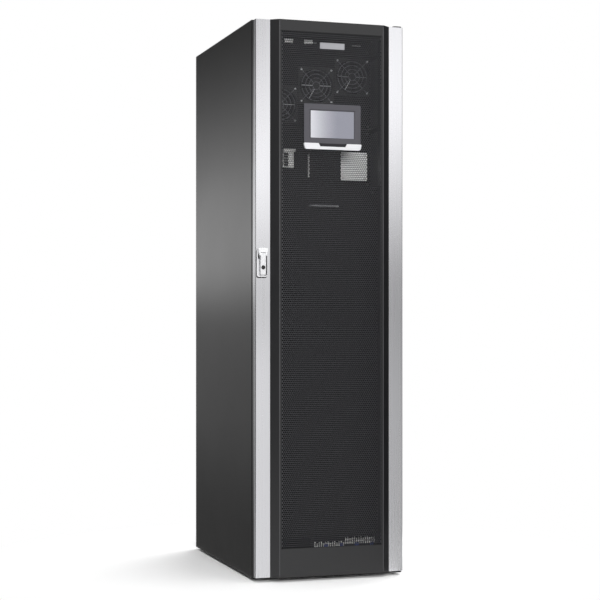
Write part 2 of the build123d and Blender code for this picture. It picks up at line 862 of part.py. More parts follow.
with BuildPart() as handle_lever:
    with BuildSketch(Plane.YZ.offset(handle_x - lever_width / 2)) as lever_side:
        with Locations((pivot_y, pivot_z)):
            Circle(knuckle_radius)
        with BuildLine():
            Polyline(
                (trim_y - head_front, pivot_z),
                (trim_y - head_front, lever_tip),
                (trim_y - lever_back, lever_tip),
                (trim_y - lever_back, pivot_z),
                close=True,
            )
        make_face()
        with Locations((pivot_y, pivot_z)):
            Circle(pivot_radius + pin_clearance, mode=Mode.SUBTRACT)
        fillet(lever_side.vertices().group_by(Axis.Y)[0], lever_tip_radius)
    extrude(amount=lever_width)
    with BuildSketch(across(trim_y - head_front)):
        with Locations((handle_x, lock_height)):
            Circle(lock_radius)
    extrude(amount=-lock_depth, mode=Mode.SUBTRACT)
write(handle_lever, "handle_lever")

with BuildPart() as key_cylinder:
    with BuildSketch(across(trim_y - head_front + lock_depth)):
        with Locations((handle_x, lock_height)):
            Circle(lock_radius - pin_clearance)
    extrude(amount=lock_depth + lock_rise)
write(key_cylinder, "key_cylinder")

latch_y = trim_y + trim_wall + stile_depth
with BuildPart() as latch_case:
    with BuildSketch(across(latch_y)):
        with Locations((-stile_x, handle_plate_centre)):
            Rectangle(latch_width, latch_height)
    extrude(amount=-latch_depth)
write(latch_case, "latch_case")
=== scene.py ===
"""Modular UPS cabinet: finishes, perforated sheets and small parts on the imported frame, in metres, Z up."""

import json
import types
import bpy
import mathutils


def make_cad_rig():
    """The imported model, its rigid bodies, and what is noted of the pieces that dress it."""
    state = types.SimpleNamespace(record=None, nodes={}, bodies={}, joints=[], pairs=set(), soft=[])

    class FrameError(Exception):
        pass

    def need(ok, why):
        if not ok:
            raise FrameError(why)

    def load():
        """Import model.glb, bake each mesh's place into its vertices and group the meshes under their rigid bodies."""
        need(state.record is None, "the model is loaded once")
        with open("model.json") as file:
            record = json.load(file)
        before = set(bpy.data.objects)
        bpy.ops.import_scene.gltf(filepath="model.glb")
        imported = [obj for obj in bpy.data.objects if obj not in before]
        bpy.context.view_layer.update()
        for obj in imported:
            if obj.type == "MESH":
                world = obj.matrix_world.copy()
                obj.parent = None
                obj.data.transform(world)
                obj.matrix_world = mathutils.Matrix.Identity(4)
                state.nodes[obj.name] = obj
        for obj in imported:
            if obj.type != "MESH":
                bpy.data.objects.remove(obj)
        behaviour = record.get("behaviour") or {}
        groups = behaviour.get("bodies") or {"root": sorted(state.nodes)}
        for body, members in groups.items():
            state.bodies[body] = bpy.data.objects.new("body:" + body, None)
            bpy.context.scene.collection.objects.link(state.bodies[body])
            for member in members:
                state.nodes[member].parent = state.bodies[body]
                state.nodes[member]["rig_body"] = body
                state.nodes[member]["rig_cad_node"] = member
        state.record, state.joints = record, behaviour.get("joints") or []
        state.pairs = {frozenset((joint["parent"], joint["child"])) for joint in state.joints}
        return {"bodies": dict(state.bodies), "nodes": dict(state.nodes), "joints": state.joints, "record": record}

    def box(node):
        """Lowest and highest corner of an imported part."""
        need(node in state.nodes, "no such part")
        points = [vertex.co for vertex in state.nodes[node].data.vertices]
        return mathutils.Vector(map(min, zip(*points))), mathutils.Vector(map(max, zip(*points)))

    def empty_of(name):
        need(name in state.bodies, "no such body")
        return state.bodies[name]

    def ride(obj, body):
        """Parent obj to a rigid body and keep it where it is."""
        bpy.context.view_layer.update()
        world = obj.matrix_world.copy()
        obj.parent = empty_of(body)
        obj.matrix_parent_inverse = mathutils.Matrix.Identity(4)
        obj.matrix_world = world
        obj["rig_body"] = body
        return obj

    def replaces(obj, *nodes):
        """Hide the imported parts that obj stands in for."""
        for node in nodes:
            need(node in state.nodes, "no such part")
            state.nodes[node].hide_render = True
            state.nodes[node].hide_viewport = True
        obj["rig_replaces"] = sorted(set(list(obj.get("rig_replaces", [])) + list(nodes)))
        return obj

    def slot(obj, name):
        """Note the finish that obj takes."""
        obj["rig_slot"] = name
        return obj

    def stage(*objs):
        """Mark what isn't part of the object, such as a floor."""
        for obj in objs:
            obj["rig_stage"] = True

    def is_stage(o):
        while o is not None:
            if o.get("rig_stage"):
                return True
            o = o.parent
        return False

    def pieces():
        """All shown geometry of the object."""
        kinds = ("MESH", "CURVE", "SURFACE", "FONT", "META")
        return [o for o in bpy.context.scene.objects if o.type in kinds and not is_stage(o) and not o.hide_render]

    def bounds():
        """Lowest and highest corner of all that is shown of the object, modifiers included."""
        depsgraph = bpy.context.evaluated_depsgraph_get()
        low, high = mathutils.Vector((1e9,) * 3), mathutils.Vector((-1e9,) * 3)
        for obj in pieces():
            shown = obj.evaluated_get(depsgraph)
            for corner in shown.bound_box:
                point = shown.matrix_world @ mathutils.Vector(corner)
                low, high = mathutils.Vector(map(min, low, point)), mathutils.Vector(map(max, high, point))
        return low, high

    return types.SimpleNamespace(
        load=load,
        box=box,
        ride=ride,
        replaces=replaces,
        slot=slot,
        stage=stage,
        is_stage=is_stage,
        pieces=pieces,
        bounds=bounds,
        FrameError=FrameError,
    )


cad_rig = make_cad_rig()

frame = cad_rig.load()
CAD_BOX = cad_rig.bounds()

import json
import math

import bpy
import numpy as np
from bpy.props import FloatProperty, FloatVectorProperty, PointerProperty
from bpy.types import NodeSocket, Operator, Panel, PropertyGroup

bl_info = {
    "name": "Modular UPS cabinet",
    "version": (1, 0, 0),
    "blender": (4, 5, 0),
    "location": "3D View > Sidebar > UPS cabinet",
    "description": "Dresses the packed cabinet with finishes, perforated sheets and small parts",
    "category": "Object",
}

NODES = frame["nodes"]
MODULES = ("communication_tray", "power_module", "connection_module", "battery_module")
TURN = 2 * math.pi
SINK = 0.0001  # how far the foot of a small part goes into what carries it
LEAST_RADIUS = 0.00005  # of a corner that is drawn in
TIP = 0.45  # length and radius of a wire's rounded tip, as shares of the wire's thickness and radius
SCREW_HEAD = ((0, 0), (0, 0.0016), (0.0008, 0.0024), (0.0019, 0.0026), (0.0022, 0.0018))  # (inset, rise)


def linear(code):
    """Linear colour of a six-digit sRGB code: each channel goes through the inverse of the sRGB curve."""
    part = np.array([int(code[i : i + 2], 16) for i in (0, 2, 4)]) / 255
    low = part / 12.92
    high = ((part + 0.055) / 1.055) ** 2.4
    return tuple(float(v) for v in np.where(part <= 0.04045, low, high))


def a_colour(name, description, code):
    """A colour that the user may change, with its default given as an sRGB code."""
    return FloatVectorProperty(
        name=name, description=description, subtype="COLOR", size=3, min=0, max=1, default=linear(code)
    )


def a_length(name, description, metres):
    """A length that the user may change, in metres."""
    return FloatProperty(
        name=name, description=description, subtype="DISTANCE", unit="LENGTH", min=0.0001, default=metres,
        precision=4,
    )


def a_power(name, description, watts):
    """A lamp's power that the user may change, in watts."""
    return FloatProperty(name=name, description=description, subtype="POWER", min=0, default=watts)


class CabinetSizes(PropertyGroup):
    """Sizes of the perforated sheets and of the small parts."""

    hole_pitch: a_length("Hole pitch", "Distance between neighbouring holes in the door's sheet", 0.0066)
    hole_row: a_length("Hole rows", "Distance between the rows of holes in the door's sheet", 0.00606)
    hole_width: a_length("Hole width", "Holes' size across the flats in the door's sheet", 0.0054)
    sheet_edge: a_length("Sheet edge", "Plain edge left around the holes of the door's sheet", 0.0012)
    sheet_thickness: a_length("Sheet thickness", "Thickness of the door's perforated sheet", 0.0007)
    rear_pitch: a_length("Rear hole pitch", "Distance between neighbouring holes in the rear grille", 0.0064)
    rear_row: a_length("Rear hole rows", "Distance between the rows of holes in the rear grille", 0.0056)
    rear_hole: a_length("Rear hole width", "Holes' size across the flats in the rear grille", 0.0050)
    plate_width: a_length("Front plate width", "Width of the bare plate on the door", 0.082)
    plate_height: a_length("Front plate height", "Height of the bare plate on the door", 0.020)
    plate_level: a_length("Front plate level", "Height of the bare plate's middle", 1.669)
    info_plate: a_length("Square plate", "Side of the blank square plate on the connection module", 0.091)
    screw_radius: a_length("Screw head", "Radius of the fan and module screws' heads", 0.0033)
    guard_wire: a_length("Guard wire", "Thickness of the finger guards' wire", 0.0022)
    edge_round: a_length("Edge rounding", "Rounding of the sheet metal's edges", 0.0008)


class CabinetColours(PropertyGroup):
    """Colours of the finishes."""

    cabinet_grey: a_colour("Cabinet panels", "Satin paint of the side, roof and rear panels", "1f1f20")
    dust_grey: a_colour("Dust", "Dust that settles on the panels near the floor", "8b8883")
    frame_black: a_colour("Frame", "Powder coat of the frame inside", "141415")
    rubber_black: a_colour("Rubber", "Levelling feet", "151515")
    door_black: a_colour("Door", "Powder coat of the door's panel", "0f0f11")
    # Painted highlight: the lighter grey of the line down the door panel's bends stands in for the light they catch.
    bend_highlight_grey: a_colour("Door bends", "Powder coat where the door panel's bends are polished", "6b6b6f")
    # Painted highlight: the sheet is a lighter copy of the door's powder coat, for the light on the holes' edges.
    mesh_coat_and_highlight: a_colour("Door sheet", "Powder coat of the door's perforated sheet", "333336")
    trim_silver: a_colour("Trims", "Brushed metal of the door's upright trims", "dcdcdf")
    # Painted shade: dark strips in the trims' grooves stand in for the shade there.
    joint_black: a_colour("Joints", "Joint strips in the trims' grooves", "0f0f10")
    plate_silver: a_colour("Front plate", "Satin metal of the bare plate on the door", "a9a9ad")
    bezel_grey: a_colour("Display bezel", "Moulded plastic of the display's housing", "4c4b50")
    # Painted reflection: the screen fades from the left colour to the right one.
    screen_left: a_colour("Screen, left", "Display glass at its left edge", "c2c2c8")
    screen_right: a_colour("Screen, right", "Display glass at its right edge", "7f808a")
    display_silver: a_colour("Display trim", "Painted silver of the trim under the display", "d2d2d5")
    lens_black: a_colour("Status strip", "Lens of the display's status strip", "17161a")
    handle_chrome: a_colour("Handle", "Cast metal of the door's handle", "eeeef0")
    # The key cylinder's own black; dark sheets of it also paint the shade in and round the handle's plate.
    lock_black: a_colour("Lock", "Key cylinder, lining, gasket and buffer of the handle", "0c0c0d")
    fan_black: a_colour("Fans", "Moulded plastic of the fans", "161617")
    guard_grey: a_colour("Finger guards", "Lacquered wire of the fans' guards", "717276")
    # Painted highlight: the guard spokes take this pale colour as a lit copy of the guard wire; the screws take it as
    # their own zinc colour.
    guard_bar: a_colour("Guard spokes", "Plated bars and screws of the fans' guards", "dcdde0")
    module_black: a_colour("Modules", "Painted steel of the modules", "101011")
    bare_steel: a_colour("Bare steel", "Grip of the battery module", "b4b5b8")
    pale_plastic: a_colour("Pale plastic", "Terminals, interface card, ledges and rivets", "d4d4d2")
    blank_white: a_colour("Blank plates", "Blank plates and plugs inside", "f0f0f0")
    dark_plastic: a_colour("Dark plastic", "Contacts, wells and module screws", "121213")
    terminal_grey: a_colour("Terminal blocks", "Moulded plastic of the terminal row", "303136")
    rail_zinc: a_colour("Terminal rail", "Zinc plate of the terminals' rail", "3a3b3e")
    blue_plastic: a_colour("Blue plastic", "Blue marker tabs in the terminal row", "3c4676")


class CabinetStage(PropertyGroup):
    """Light, floor and camera."""

    ambient: FloatProperty(
        name="Room light", description="Strength of the even light on the object", default=0.25, min=0
    )
    key_power: a_power("Key lamp", "Power of the lamp in front", 150)
    top_power: a_power("Top lamp", "Power of the lamp above", 150)
    back_power: a_power("Back lamp", "Power of the lamp behind", 80)
    right_power: a_power("Right lamp", "Power of the lamp at the right", 130)
    camera_place: FloatVectorProperty(
        name="Camera", description="Where the camera stands", subtype="TRANSLATION", unit="LENGTH", size=3,
        default=(-1.5862, -4.9609, 0.8045),
    )
    camera_turn: FloatProperty(
        name="Camera turn", description="Camera's turn to the right", subtype="ANGLE", default=0.3128
    )
    focal_length: FloatProperty(
        name="Lens", description="Focal length on a 36 mm sensor, in mm", default=92.885, min=1
    )
    lens_rise: FloatProperty(
        name="Lens rise", description="Upward shift of the lens, as a share of the width", default=0.0378
    )


def settings():
    """The sizes, the colours and the stage of the open scene."""
    scene = bpy.context.scene
    return scene.ups_sizes, scene.ups_colours, scene.ups_stage


# Meshes from arrays. A shape is an (n, 3) array of points and a list of face arrays, one per corner count.


def new_piece(name, shape, body, slot, finish, smooth=False):
    """A mesh object from a shape. It rides on the body and takes the slot, where these are given."""
    points, polygons = shape
    loops = np.concatenate([p.ravel() for p in polygons]).astype(np.int32)
    totals = np.concatenate([np.full(len(p), p.shape[1]) for p in polygons]).astype(np.int32)
    starts = np.concatenate([[0], np.cumsum(totals)[:-1]]).astype(np.int32)
    mesh = bpy.data.meshes.new(name)
    mesh.vertices.add(len(points))
    mesh.vertices.foreach_set("co", np.ascontiguousarray(points, np.float32).ravel())
    mesh.loops.add(len(loops))
    mesh.loops.foreach_set("vertex_index", loops)
    mesh.polygons.add(len(totals))
    mesh.polygons.foreach_set("loop_start", starts)
    mesh.polygons.foreach_set("use_smooth", np.full(len(totals), smooth))
    mesh.update(calc_edges=True)
    if mesh.validate():
        raise RuntimeError(f"the mesh of {name} had faults")
    piece = bpy.data.objects.new(name, mesh)
    bpy.context.scene.collection.objects.link(piece)
    mesh.materials.append(finish)
    if body:
        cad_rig.ride(piece, body)
    if slot:
        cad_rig.slot(piece, slot)
    return piece


def numbered(points):
    """The numbers of a grid of points, in the grid's own layout."""
    return np.arange(points[..., 0].size).reshape(points.shape[:-1])


def tubes(points):
    """Closed tubes from points laid out as (tube, ring, corner): walls between the rings, and two caps each."""
    index = numbered(points)
    after = np.roll(index, -1, axis=2)
    walls = np.stack([index[:, :-1], after[:, :-1], after[:, 1:], index[:, 1:]], axis=-1).reshape(-1, 4)
    return points.reshape(-1, 3), [walls, np.concatenate([index[:, 0, ::-1], index[:, -1]])]


def rounded_box(half_width, half_height, radius, steps=3):
    """Outline of a rounded rectangle, as a function of the inset: quarter arcs about four corner centres."""

    def outline(inset):
        r = max(radius - inset, LEAST_RADIUS)
        angle = np.linspace(0, math.pi / 2, steps + 1)[None, :] + np.arange(4)[:, None] * math.pi / 2
        across = np.array([1, -1, -1, 1])[:, None] * (half_width - inset - r) + r * np.cos(angle)
        up = np.array([1, 1, -1, -1])[:, None] * (half_height - inset - r) + r * np.sin(angle)
        return across.ravel(), up.ravel()

    return outline


def disc(radius, count=12):
    """Outline of a circle, as a function of the inset: a radius turned through equal angles."""

    def outline(inset):
        angle = np.arange(count) * TURN / count
        return (radius - inset) * np.cos(angle), (radius - inset) * np.sin(angle)

    return outline


def raised(wall, inset, top):
    """Layers of a flat body: sunk a little, straight up to the wall's height, then drawn in to the top."""
    return (0, -SINK), (0, wall), (inset, top)


def layered(centres, outline, layers):
    """Closed bodies that face the front: the outline is carried through layers of (inset, rise), and the first
    and last rings are capped. One body stands at each centre."""
    across, up = np.stack([outline(inset) for inset, _ in layers], axis=1)
    rise = np.array([level for _, level in layers])[:, None]
    shape = np.stack([across, 0 * across - rise, up], axis=-1)
    return tubes(np.atleast_2d(np.array(centres, float))[:, None, None] + shape)


def patch(x, y, z, radius, layers, steps=3):
    """A layered rounded rectangle on y, between two places in X and two in Z."""
    outline = rounded_box((x[1] - x[0]) / 2, (z[1] - z[0]) / 2, radius, steps)
    return layered(((x[0] + x[1]) / 2, y, (z[0] + z[1]) / 2), outline, layers)


def plates(name, centres, outline, layers, slot, finish, body="cabinet"):
    """A piece made of layered bodies, one at each centre."""
    return new_piece(name, layered(centres, outline, layers), body, slot, finish)


def upright(across, along, bottom, top):
    """Closed bar that stands up: a profile in X and Y, in counter-clockwise order, goes from bottom to top."""
    level = np.array([bottom, top])[:, None] + 0 * across
    return tubes(np.stack([across + 0 * level, along + 0 * level, level], axis=-1)[None])


def joined(*shapes):
    """Several shapes as one: corner numbers are raised by the points that come before."""
    starts = np.cumsum([0] + [len(points) for points, _ in shapes])
    points = np.concatenate([points for points, _ in shapes])
    return points, [p + start for (_, faces), start in zip(shapes, starts) for p in faces]


def wire_rings(centre, radii, wire, around=56, corners=8):
    """Round wire bent into rings: a small circle in a plane through the axis goes round a large circle."""
    turn = np.arange(around)[:, None] * TURN / around
    roll = np.arange(corners) * TURN / corners
    reach = np.array(radii)[:, None, None] + wire / 2 * np.cos(roll)
    back = np.broadcast_to(wire / 2 * np.sin(roll), (len(radii), around, corners))
    points = np.array(centre) + np.stack([reach * np.cos(turn), back, reach * np.sin(turn)], axis=-1)
    index = numbered(points)
    ahead = np.roll(index, -1, axis=1)
    faces = np.stack([index, np.roll(index, -1, axis=2), np.roll(ahead, -1, axis=2), ahead], axis=-1)
    return points.reshape(-1, 3), [faces.reshape(-1, 4)]


def wire_spokes(hub, degrees, start, end, wire, corners=8):
    """Straight round bars that leave a hub at the given angles, in a plane that faces the front: a circle is
    carried from the start radius to the end radius, with a smaller one before and after for rounded tips."""
    turn = np.radians(degrees)[:, None]
    roll = np.arange(corners)[:, None] * TURN / corners
    out = np.stack([np.cos(turn), 0 * turn, np.sin(turn)], axis=-1)
    side = np.stack([np.sin(turn), 0 * turn, -np.cos(turn)], axis=-1)
    ring = np.cos(roll) * side + np.sin(roll) * np.array([0, -1.0, 0])
    reach = np.array([start - TIP * wire, start, end, end + TIP * wire])[:, None, None]
    size = np.array([TIP, 1, 1, TIP])[:, None, None] * wire / 2
    return tubes(hub + reach * out[:, None] + size * ring[:, None])


def hexagon_sheet(low, high, pitch, step, hole, edge):
    """Face of a sheet with hexagonal holes on a triangular lattice, between two corners (x, z).

    Rows of holes lie a step apart, and each second row is moved by half a pitch. Every hole has six corners at
    its radius, at 30 degrees and each 60 degrees on. The metal between two holes is a four-sided bar, where
    three holes meet it is a triangle, and plain strips join the outer holes to the border.
    Returns the points (x, z), the faces by number of corners, the row of each face, and the number of rows."""
    (x0, z0), (x1, z1) = low, high
    radius = hole / math.sqrt(3)
    columns = int((x1 - x0 - hole - 2 * edge) / pitch) + 1
    rows = int((z1 - z0 - 2 * radius - 2 * edge) / step) + 1
    rows -= 1 - rows % 2
    row, column, corner = np.meshgrid(np.arange(rows), np.arange(columns), np.arange(6), indexing="ij")
    angle = math.pi / 6 + corner * math.pi / 3
    first_x = (x0 + x1) / 2 - (columns - 1) * pitch / 2
    first_z = (z0 + z1) / 2 - (rows - 1) * step / 2
    x = first_x + (column + row % 2 / 2) * pitch + radius * np.cos(angle)
    z = first_z + row * step + radius * np.sin(angle)
    rim_z = np.concatenate([z[:, 0, 3], z[:, 0, 2]])
    border_x = [x[0, :, 3:6].ravel(), x[-1, :, [2, 1, 0]].T.ravel(), [x0, x1, x1, x0]]
    border_z = [np.full(3 * columns, z0), np.full(3 * columns, z1), [z0, z0, z1, z1]]
    px = np.concatenate([x.ravel(), np.full(2 * rows, x0), np.full(2 * rows, x1), *border_x])
    pz = np.concatenate([z.ravel(), rim_z, rim_z, *border_z])
    left_low, left_high, right_low, right_high = x.size + np.arange(4 * rows).reshape(4, rows)
    bottom = x.size + 4 * rows + np.arange(3 * columns).reshape(columns, 3)
    top = bottom + 3 * columns
    ends = x.size + 4 * rows + 6 * columns + np.arange(4)
    kinds = {3: [], 4: [], 5: []}

    def add(r, *corners):
        """Keeps faces, given by their rows and their corners' numbers, with those of as many corners."""
        kinds[len(corners)].append((r, corners))

    def at(r, c, k):
        """Number of corner k of the hole in row r and column c."""
        return (r * columns + c) * 6 + k

    def cells(odd, first, last, rise):
        """Row and column numbers of the even or odd rows' holes, with those at the ends left out."""
        r = np.arange(odd, rows - rise, 2)
        c = np.arange(first, columns - odd - last)
        return [g.ravel() for g in np.meshgrid(r, c, indexing="ij")]

    for odd in (0, 1):
        r, c = cells(odd, 0, 1, 0)
        add(r, at(r, c, 5), at(r, c + 1, 3), at(r, c + 1, 2), at(r, c, 0))
        r, c = cells(odd, 0, 1 - odd, 1)
        add(r, at(r, c, 0), at(r + 1, c + odd, 4), at(r + 1, c + odd, 3), at(r, c, 1))
        r, c = cells(odd, 1 - odd, 0, 1)
        add(r, at(r, c, 1), at(r + 1, c - 1 + odd, 5), at(r + 1, c - 1 + odd, 4), at(r, c, 2))
        r, c = cells(odd, 0, 1, 1)
        add(r, at(r, c, 0), at(r, c + 1, 2), at(r + 1, c + odd, 4))
        r, c = cells(odd, 1 - odd, 1 - odd, 1)
        add(r, at(r, c, 1), at(r + 1, c + odd, 3), at(r + 1, c - 1 + odd, 5))
        r = np.arange(odd, rows, 2)
        end = columns - 1 - odd
        add(r, left_low[r], at(r, 0, 3), at(r, 0, 2), left_high[r])
        add(r, at(r, end, 5), right_low[r], right_high[r], at(r, end, 0))
        r = np.arange(odd, rows - 1, 2)
        near = at(r + 1, 0, 4) if odd else at(r, 0, 1)
        add(r, left_high[r], at(r, 0, 2), near, at(r + 1, 0, 3), left_low[r + 1])
        far_end = columns - 2 + odd
        far = at(r + 1, far_end, 4) if odd else at(r, end, 1)
        add(r, right_high[r], right_low[r + 1], at(r + 1, far_end, 5), far, at(r, end, 0))
    c = np.arange(columns)
    inner = c[:-1]
    last = rows - 1
    end = columns - 1
    first_row = np.zeros(columns, int)
    last_row = np.full(columns, last)
    add(first_row, bottom[:, 0], bottom[:, 1], at(0, c, 4), at(0, c, 3))
    add(first_row, bottom[:, 1], bottom[:, 2], at(0, c, 5), at(0, c, 4))
    add(first_row[1:], bottom[inner, 2], bottom[inner + 1, 0], at(0, inner + 1, 3), at(0, inner, 5))
    add(last_row, at(last, c, 2), at(last, c, 1), top[:, 1], top[:, 0])
    add(last_row, at(last, c, 1), at(last, c, 0), top[:, 2], top[:, 1])
    add(last_row[1:], at(last, inner, 0), at(last, inner + 1, 2), top[inner + 1, 0], top[inner, 2])
    corners = np.array([
        [ends[0], bottom[0, 0], at(0, 0, 3), left_low[0]],
        [bottom[end, 2], ends[1], right_low[0], at(0, end, 5)],
        [at(last, end, 0), right_high[last], ends[2], top[end, 2]],
        [left_high[last], at(last, 0, 2), top[0, 0], ends[3]],
    ])
    add(np.array([0, 0, last, last]), *corners.T)
    faces = [np.concatenate([np.stack(f, axis=-1) for _, f in kind]) for kind in kinds.values()]
    tags = [np.concatenate([r for r, _ in kind]) for kind in kinds.values()]
    return np.stack([px, pz], axis=-1), faces, tags, rows


def sheet_pieces(names, low, high, y, thickness, lattice, body, slot, finish, facing=-1, window=None):
    """A perforated sheet between two corners, as pieces from the bottom up: the hexagon sheet is set upright at
    y, the faces inside the window (x0, z0, x1, z1) are left out, and the rows are shared among the names.
    Solidify gives it thickness."""
    flat, faces, tags, rows = hexagon_sheet((low.x, low.z), (high.x, high.z), *lattice)
    made = []
    for number, name in enumerate(names):
        chosen = []
        for face, tag in zip(faces, tags):
            keep = tag * len(names) // rows == number
            if window is not None:
                middle = flat[face].mean(axis=1)
                inside = (middle > np.array(window[:2])) & (middle < np.array(window[2:]))
                keep &= ~inside.all(axis=1)
            chosen.append(face[keep])
        used, numbers = np.unique(np.concatenate([f.ravel() for f in chosen]), return_inverse=True)
        splits = np.cumsum([f.size for f in chosen])[:-1]
        chosen = [n.reshape(f.shape) for n, f in zip(np.split(numbers, splits), chosen)]
        place = flat[used]
        points = np.stack([-facing * place[:, 0], np.full(len(place), y), place[:, 1]], axis=-1)
        piece = new_piece(name, (points, chosen), body, slot, finish)
        wall = piece.modifiers.new("sheet", "SOLIDIFY")
        wall.thickness = thickness
        wall.offset = -1
        made.append(piece)
    return made


# Shader nodes, groups and finishes


def node(tree, kind, *inputs, **values):
    """A node of a tree. Names in small letters are its properties. Its inputs are given by place, or by name
    with _ for a space, as a value or as the socket that feeds them."""
    made = tree.nodes.new("ShaderNode" + kind)
    for key, value in values.items():
        if key.islower():
            setattr(made, key, value)
    given = [(place, value) for place, value in enumerate(inputs) if value is not None]
    given += [(key.replace("_", " "), value) for key, value in values.items() if not key.islower()]
    for key, value in given:
        if isinstance(value, NodeSocket):
            tree.links.new(value, made.inputs[key])
        else:
            made.inputs[key].default_value = value
    return made


def reckon(tree, operation, first, second=None):
    """The result of a Math node."""
    return node(tree, "Math", first, second, operation=operation).outputs[0]


def blended(tree, share, first, second):
    """The number between two that a share from 0 to 1 picks."""
    return node(tree, "Mix", share, None, first, second, data_type="FLOAT").outputs[0]


def mixed(tree, share, first, second):
    """The colour between two that a share from 0 to 1 picks."""
    return node(tree, "Mix", share, *[None] * 5, first, second, data_type="RGBA").outputs[2]


def ranged(tree, value, start=0.0, end=1.0, low=0.0, high=1.0, smooth=False):
    """A value carried from the range start to end to the range low to high, and held at its ends."""
    made = node(tree, "MapRange", Value=value, From_Min=start, From_Max=end, To_Min=low, To_Max=high)
    if smooth:
        made.interpolation_type = "SMOOTHSTEP"
    return made.outputs["Result"]


def noise(tree, place, scale, detail):
    """A noise between 0 and 1."""
    return node(tree, "TexNoise", Vector=place, Scale=scale, Detail=detail).outputs["Fac"]


def coordinate(tree, place, axis):
    """One coordinate of a place."""
    return node(tree, "SeparateXYZ", place).outputs[axis]


def grey_ramp(tree, share, stops):
    """Greys along a share from 0 to 1, by (share, tone) stops in rising order."""
    ramp = node(tree, "ValToRGB", share)
    ramp.color_ramp.interpolation = "EASE"
    for number, (position, tone) in enumerate(stops):
        stop = ramp.color_ramp.elements[number] if number < 2 else ramp.color_ramp.elements.new(position)
        stop.position = position
        stop.color = (tone, tone, tone, 1)
    return ramp.outputs["Color"]


def shade(colour, factor=1.0):
    """A colour made lighter or darker, with full opacity."""
    return tuple(min(1.0, c * factor) for c in colour[:3]) + (1.0,)


def group(name, inputs, outputs, fill):
    """The shader group of a name. It is made once: a place and numbers with their defaults go in, and what
    fill(tree, source) gives comes out."""
    tree = bpy.data.node_groups.get(name)
    if tree:
        return tree
    tree = bpy.data.node_groups.new(name, "ShaderNodeTree")
    tree.interface.new_socket(name="Vector", in_out="INPUT", socket_type="NodeSocketVector")
    for label, value in inputs.items():
        socket = tree.interface.new_socket(name=label, in_out="INPUT", socket_type="NodeSocketFloat")
        socket.default_value = value
    for label in outputs:
        tree.interface.new_socket(name=label, in_out="OUTPUT", socket_type="NodeSocketFloat")
    results = fill(tree, tree.nodes.new("NodeGroupInput").outputs)
    end = tree.nodes.new("NodeGroupOutput")
    for label, result in zip(outputs, results):
        tree.links.new(result, end.inputs[label])
    return tree


def paint_grain():
    """Fine orange peel and a broad drift of tone: two noises of different scale, added by share."""

    def fill(tree, source):
        fine = noise(tree, source["Vector"], source["Fine"], 2.0)
        broad = noise(tree, source["Vector"], source["Broad"], 3.0)
        return blended(tree, 0.35, broad, fine), fine

    return group("paint_grain", {"Fine": 900.0, "Broad": 4.0}, ("Tone", "Height"), fill)


def brushed_lines():
    """Fine lines along Z: a noise stretched by a large scale across and a small one along, and a broad drift."""
    band_scale = (0.14, 0.14, 0.5)

    def fill(tree, source):
        stretch = node(tree, "CombineXYZ", source["Across"], source["Across"], source["Along"]).outputs[0]
        scaled = node(tree, "VectorMath", source["Vector"], stretch, operation="MULTIPLY").outputs[0]
        coarse = node(tree, "VectorMath", scaled, band_scale, operation="MULTIPLY").outputs[0]
        lines = noise(tree, scaled, 1.0, 3.0)
        return blended(tree, 0.4, lines, noise(tree, coarse, 1.0, 2.0)), lines

    return group("brushed_lines", {"Across": 900.0, "Along": 3.0}, ("Tone", "Height"), fill)


def settled_dust():
    """Dust near the floor: a mask that falls with height above the floor, broken up by a noise."""

    def fill(tree, source):
        height = coordinate(tree, source["Vector"], "Z")
        fall = ranged(tree, height, end=source["Reach"], low=1.0, high=0.0, smooth=True)
        specks = reckon(tree, "MULTIPLY", fall, noise(tree, source["Vector"], 22.0, 4.0))
        return [reckon(tree, "MULTIPLY", specks, source["Amount"])]

    return group("settled_dust", {"Reach": 0.35, "Amount": 0.2}, ["Mask"], fill)


def cleared(owner):
    """The empty node tree of a material or a world."""
    owner.use_nodes = True
    owner.node_tree.nodes.clear()
    return owner.node_tree


def material(name, build):
    """The material of a name. It is made once, with the shader that build(tree, place) gives from the
    object's coordinates."""
    made = bpy.data.materials.get(name)
    if made is None:
        made = bpy.data.materials.new(name)
        tree = cleared(made)
        place = node(tree, "TexCoord").outputs["Object"]
        node(tree, "OutputMaterial", build(tree, place).outputs[0])
    return made


def finish_of(name, colour, roughness, spread, pattern, scales, drift, bump, marks, **shader):
    """A finish: its pattern group spreads the colour, drifts the gloss and lifts the surface by a strength and a
    height. Marks, where given, are a function of the tree, the place, the pattern's tone and the colour so far,
    which gives the last colour. The rest goes to the shader's own inputs."""

    def build(tree, place):
        made = node(tree, "Group", node_tree=pattern(), Vector=place, **scales).outputs
        last = mixed(tree, made["Tone"], shade(colour, 1 - spread), shade(colour, 1 + spread))
        if marks:
            last = marks(tree, place, made["Tone"], last)
        gloss = ranged(tree, made["Tone"], low=roughness - drift, high=roughness + drift)
        strength, height = bump
        lift = node(tree, "Bump", Strength=strength, Distance=height, Height=made["Height"]).outputs[0]
        return node(tree, "BsdfPrincipled", Base_Color=last, Roughness=gloss, Normal=lift, **shader)

    return material(name, build)


def coat_of(name, colour, roughness, spread=0.1, fine=900.0, broad=4.0, bump=0.00003, specular=0.5, coat=0.0,
            marks=None):
    """Paint, powder coat or moulded plastic, with the grain group's fine and broad drift."""
    return finish_of(
        name, colour, roughness, spread, paint_grain, {"Fine": fine, "Broad": broad}, 0.05, (0.6, bump), marks,
        Specular_IOR_Level=specular, Coat_Weight=coat,
    )


def brushed(name, colour, roughness, spread=0.06, across=900.0, along=3.0, bump=0.00002, metallic=1.0,
            marks=None):
    """Brushed metal, scored along Z by the line group."""
    return finish_of(
        name, colour, roughness, spread, brushed_lines, {"Across": across, "Along": along}, 0.06, (0.5, bump),
        marks, Metallic=metallic,
    )


def dusted(colour, amount):
    """Marks of a panel that stands near the floor: settled dust lightens it."""

    def marks(tree, place, tone, paint):
        settled = node(tree, "Group", node_tree=settled_dust(), Vector=place, Amount=amount)
        return mixed(tree, settled.outputs["Mask"], paint, shade(colour))

    return marks


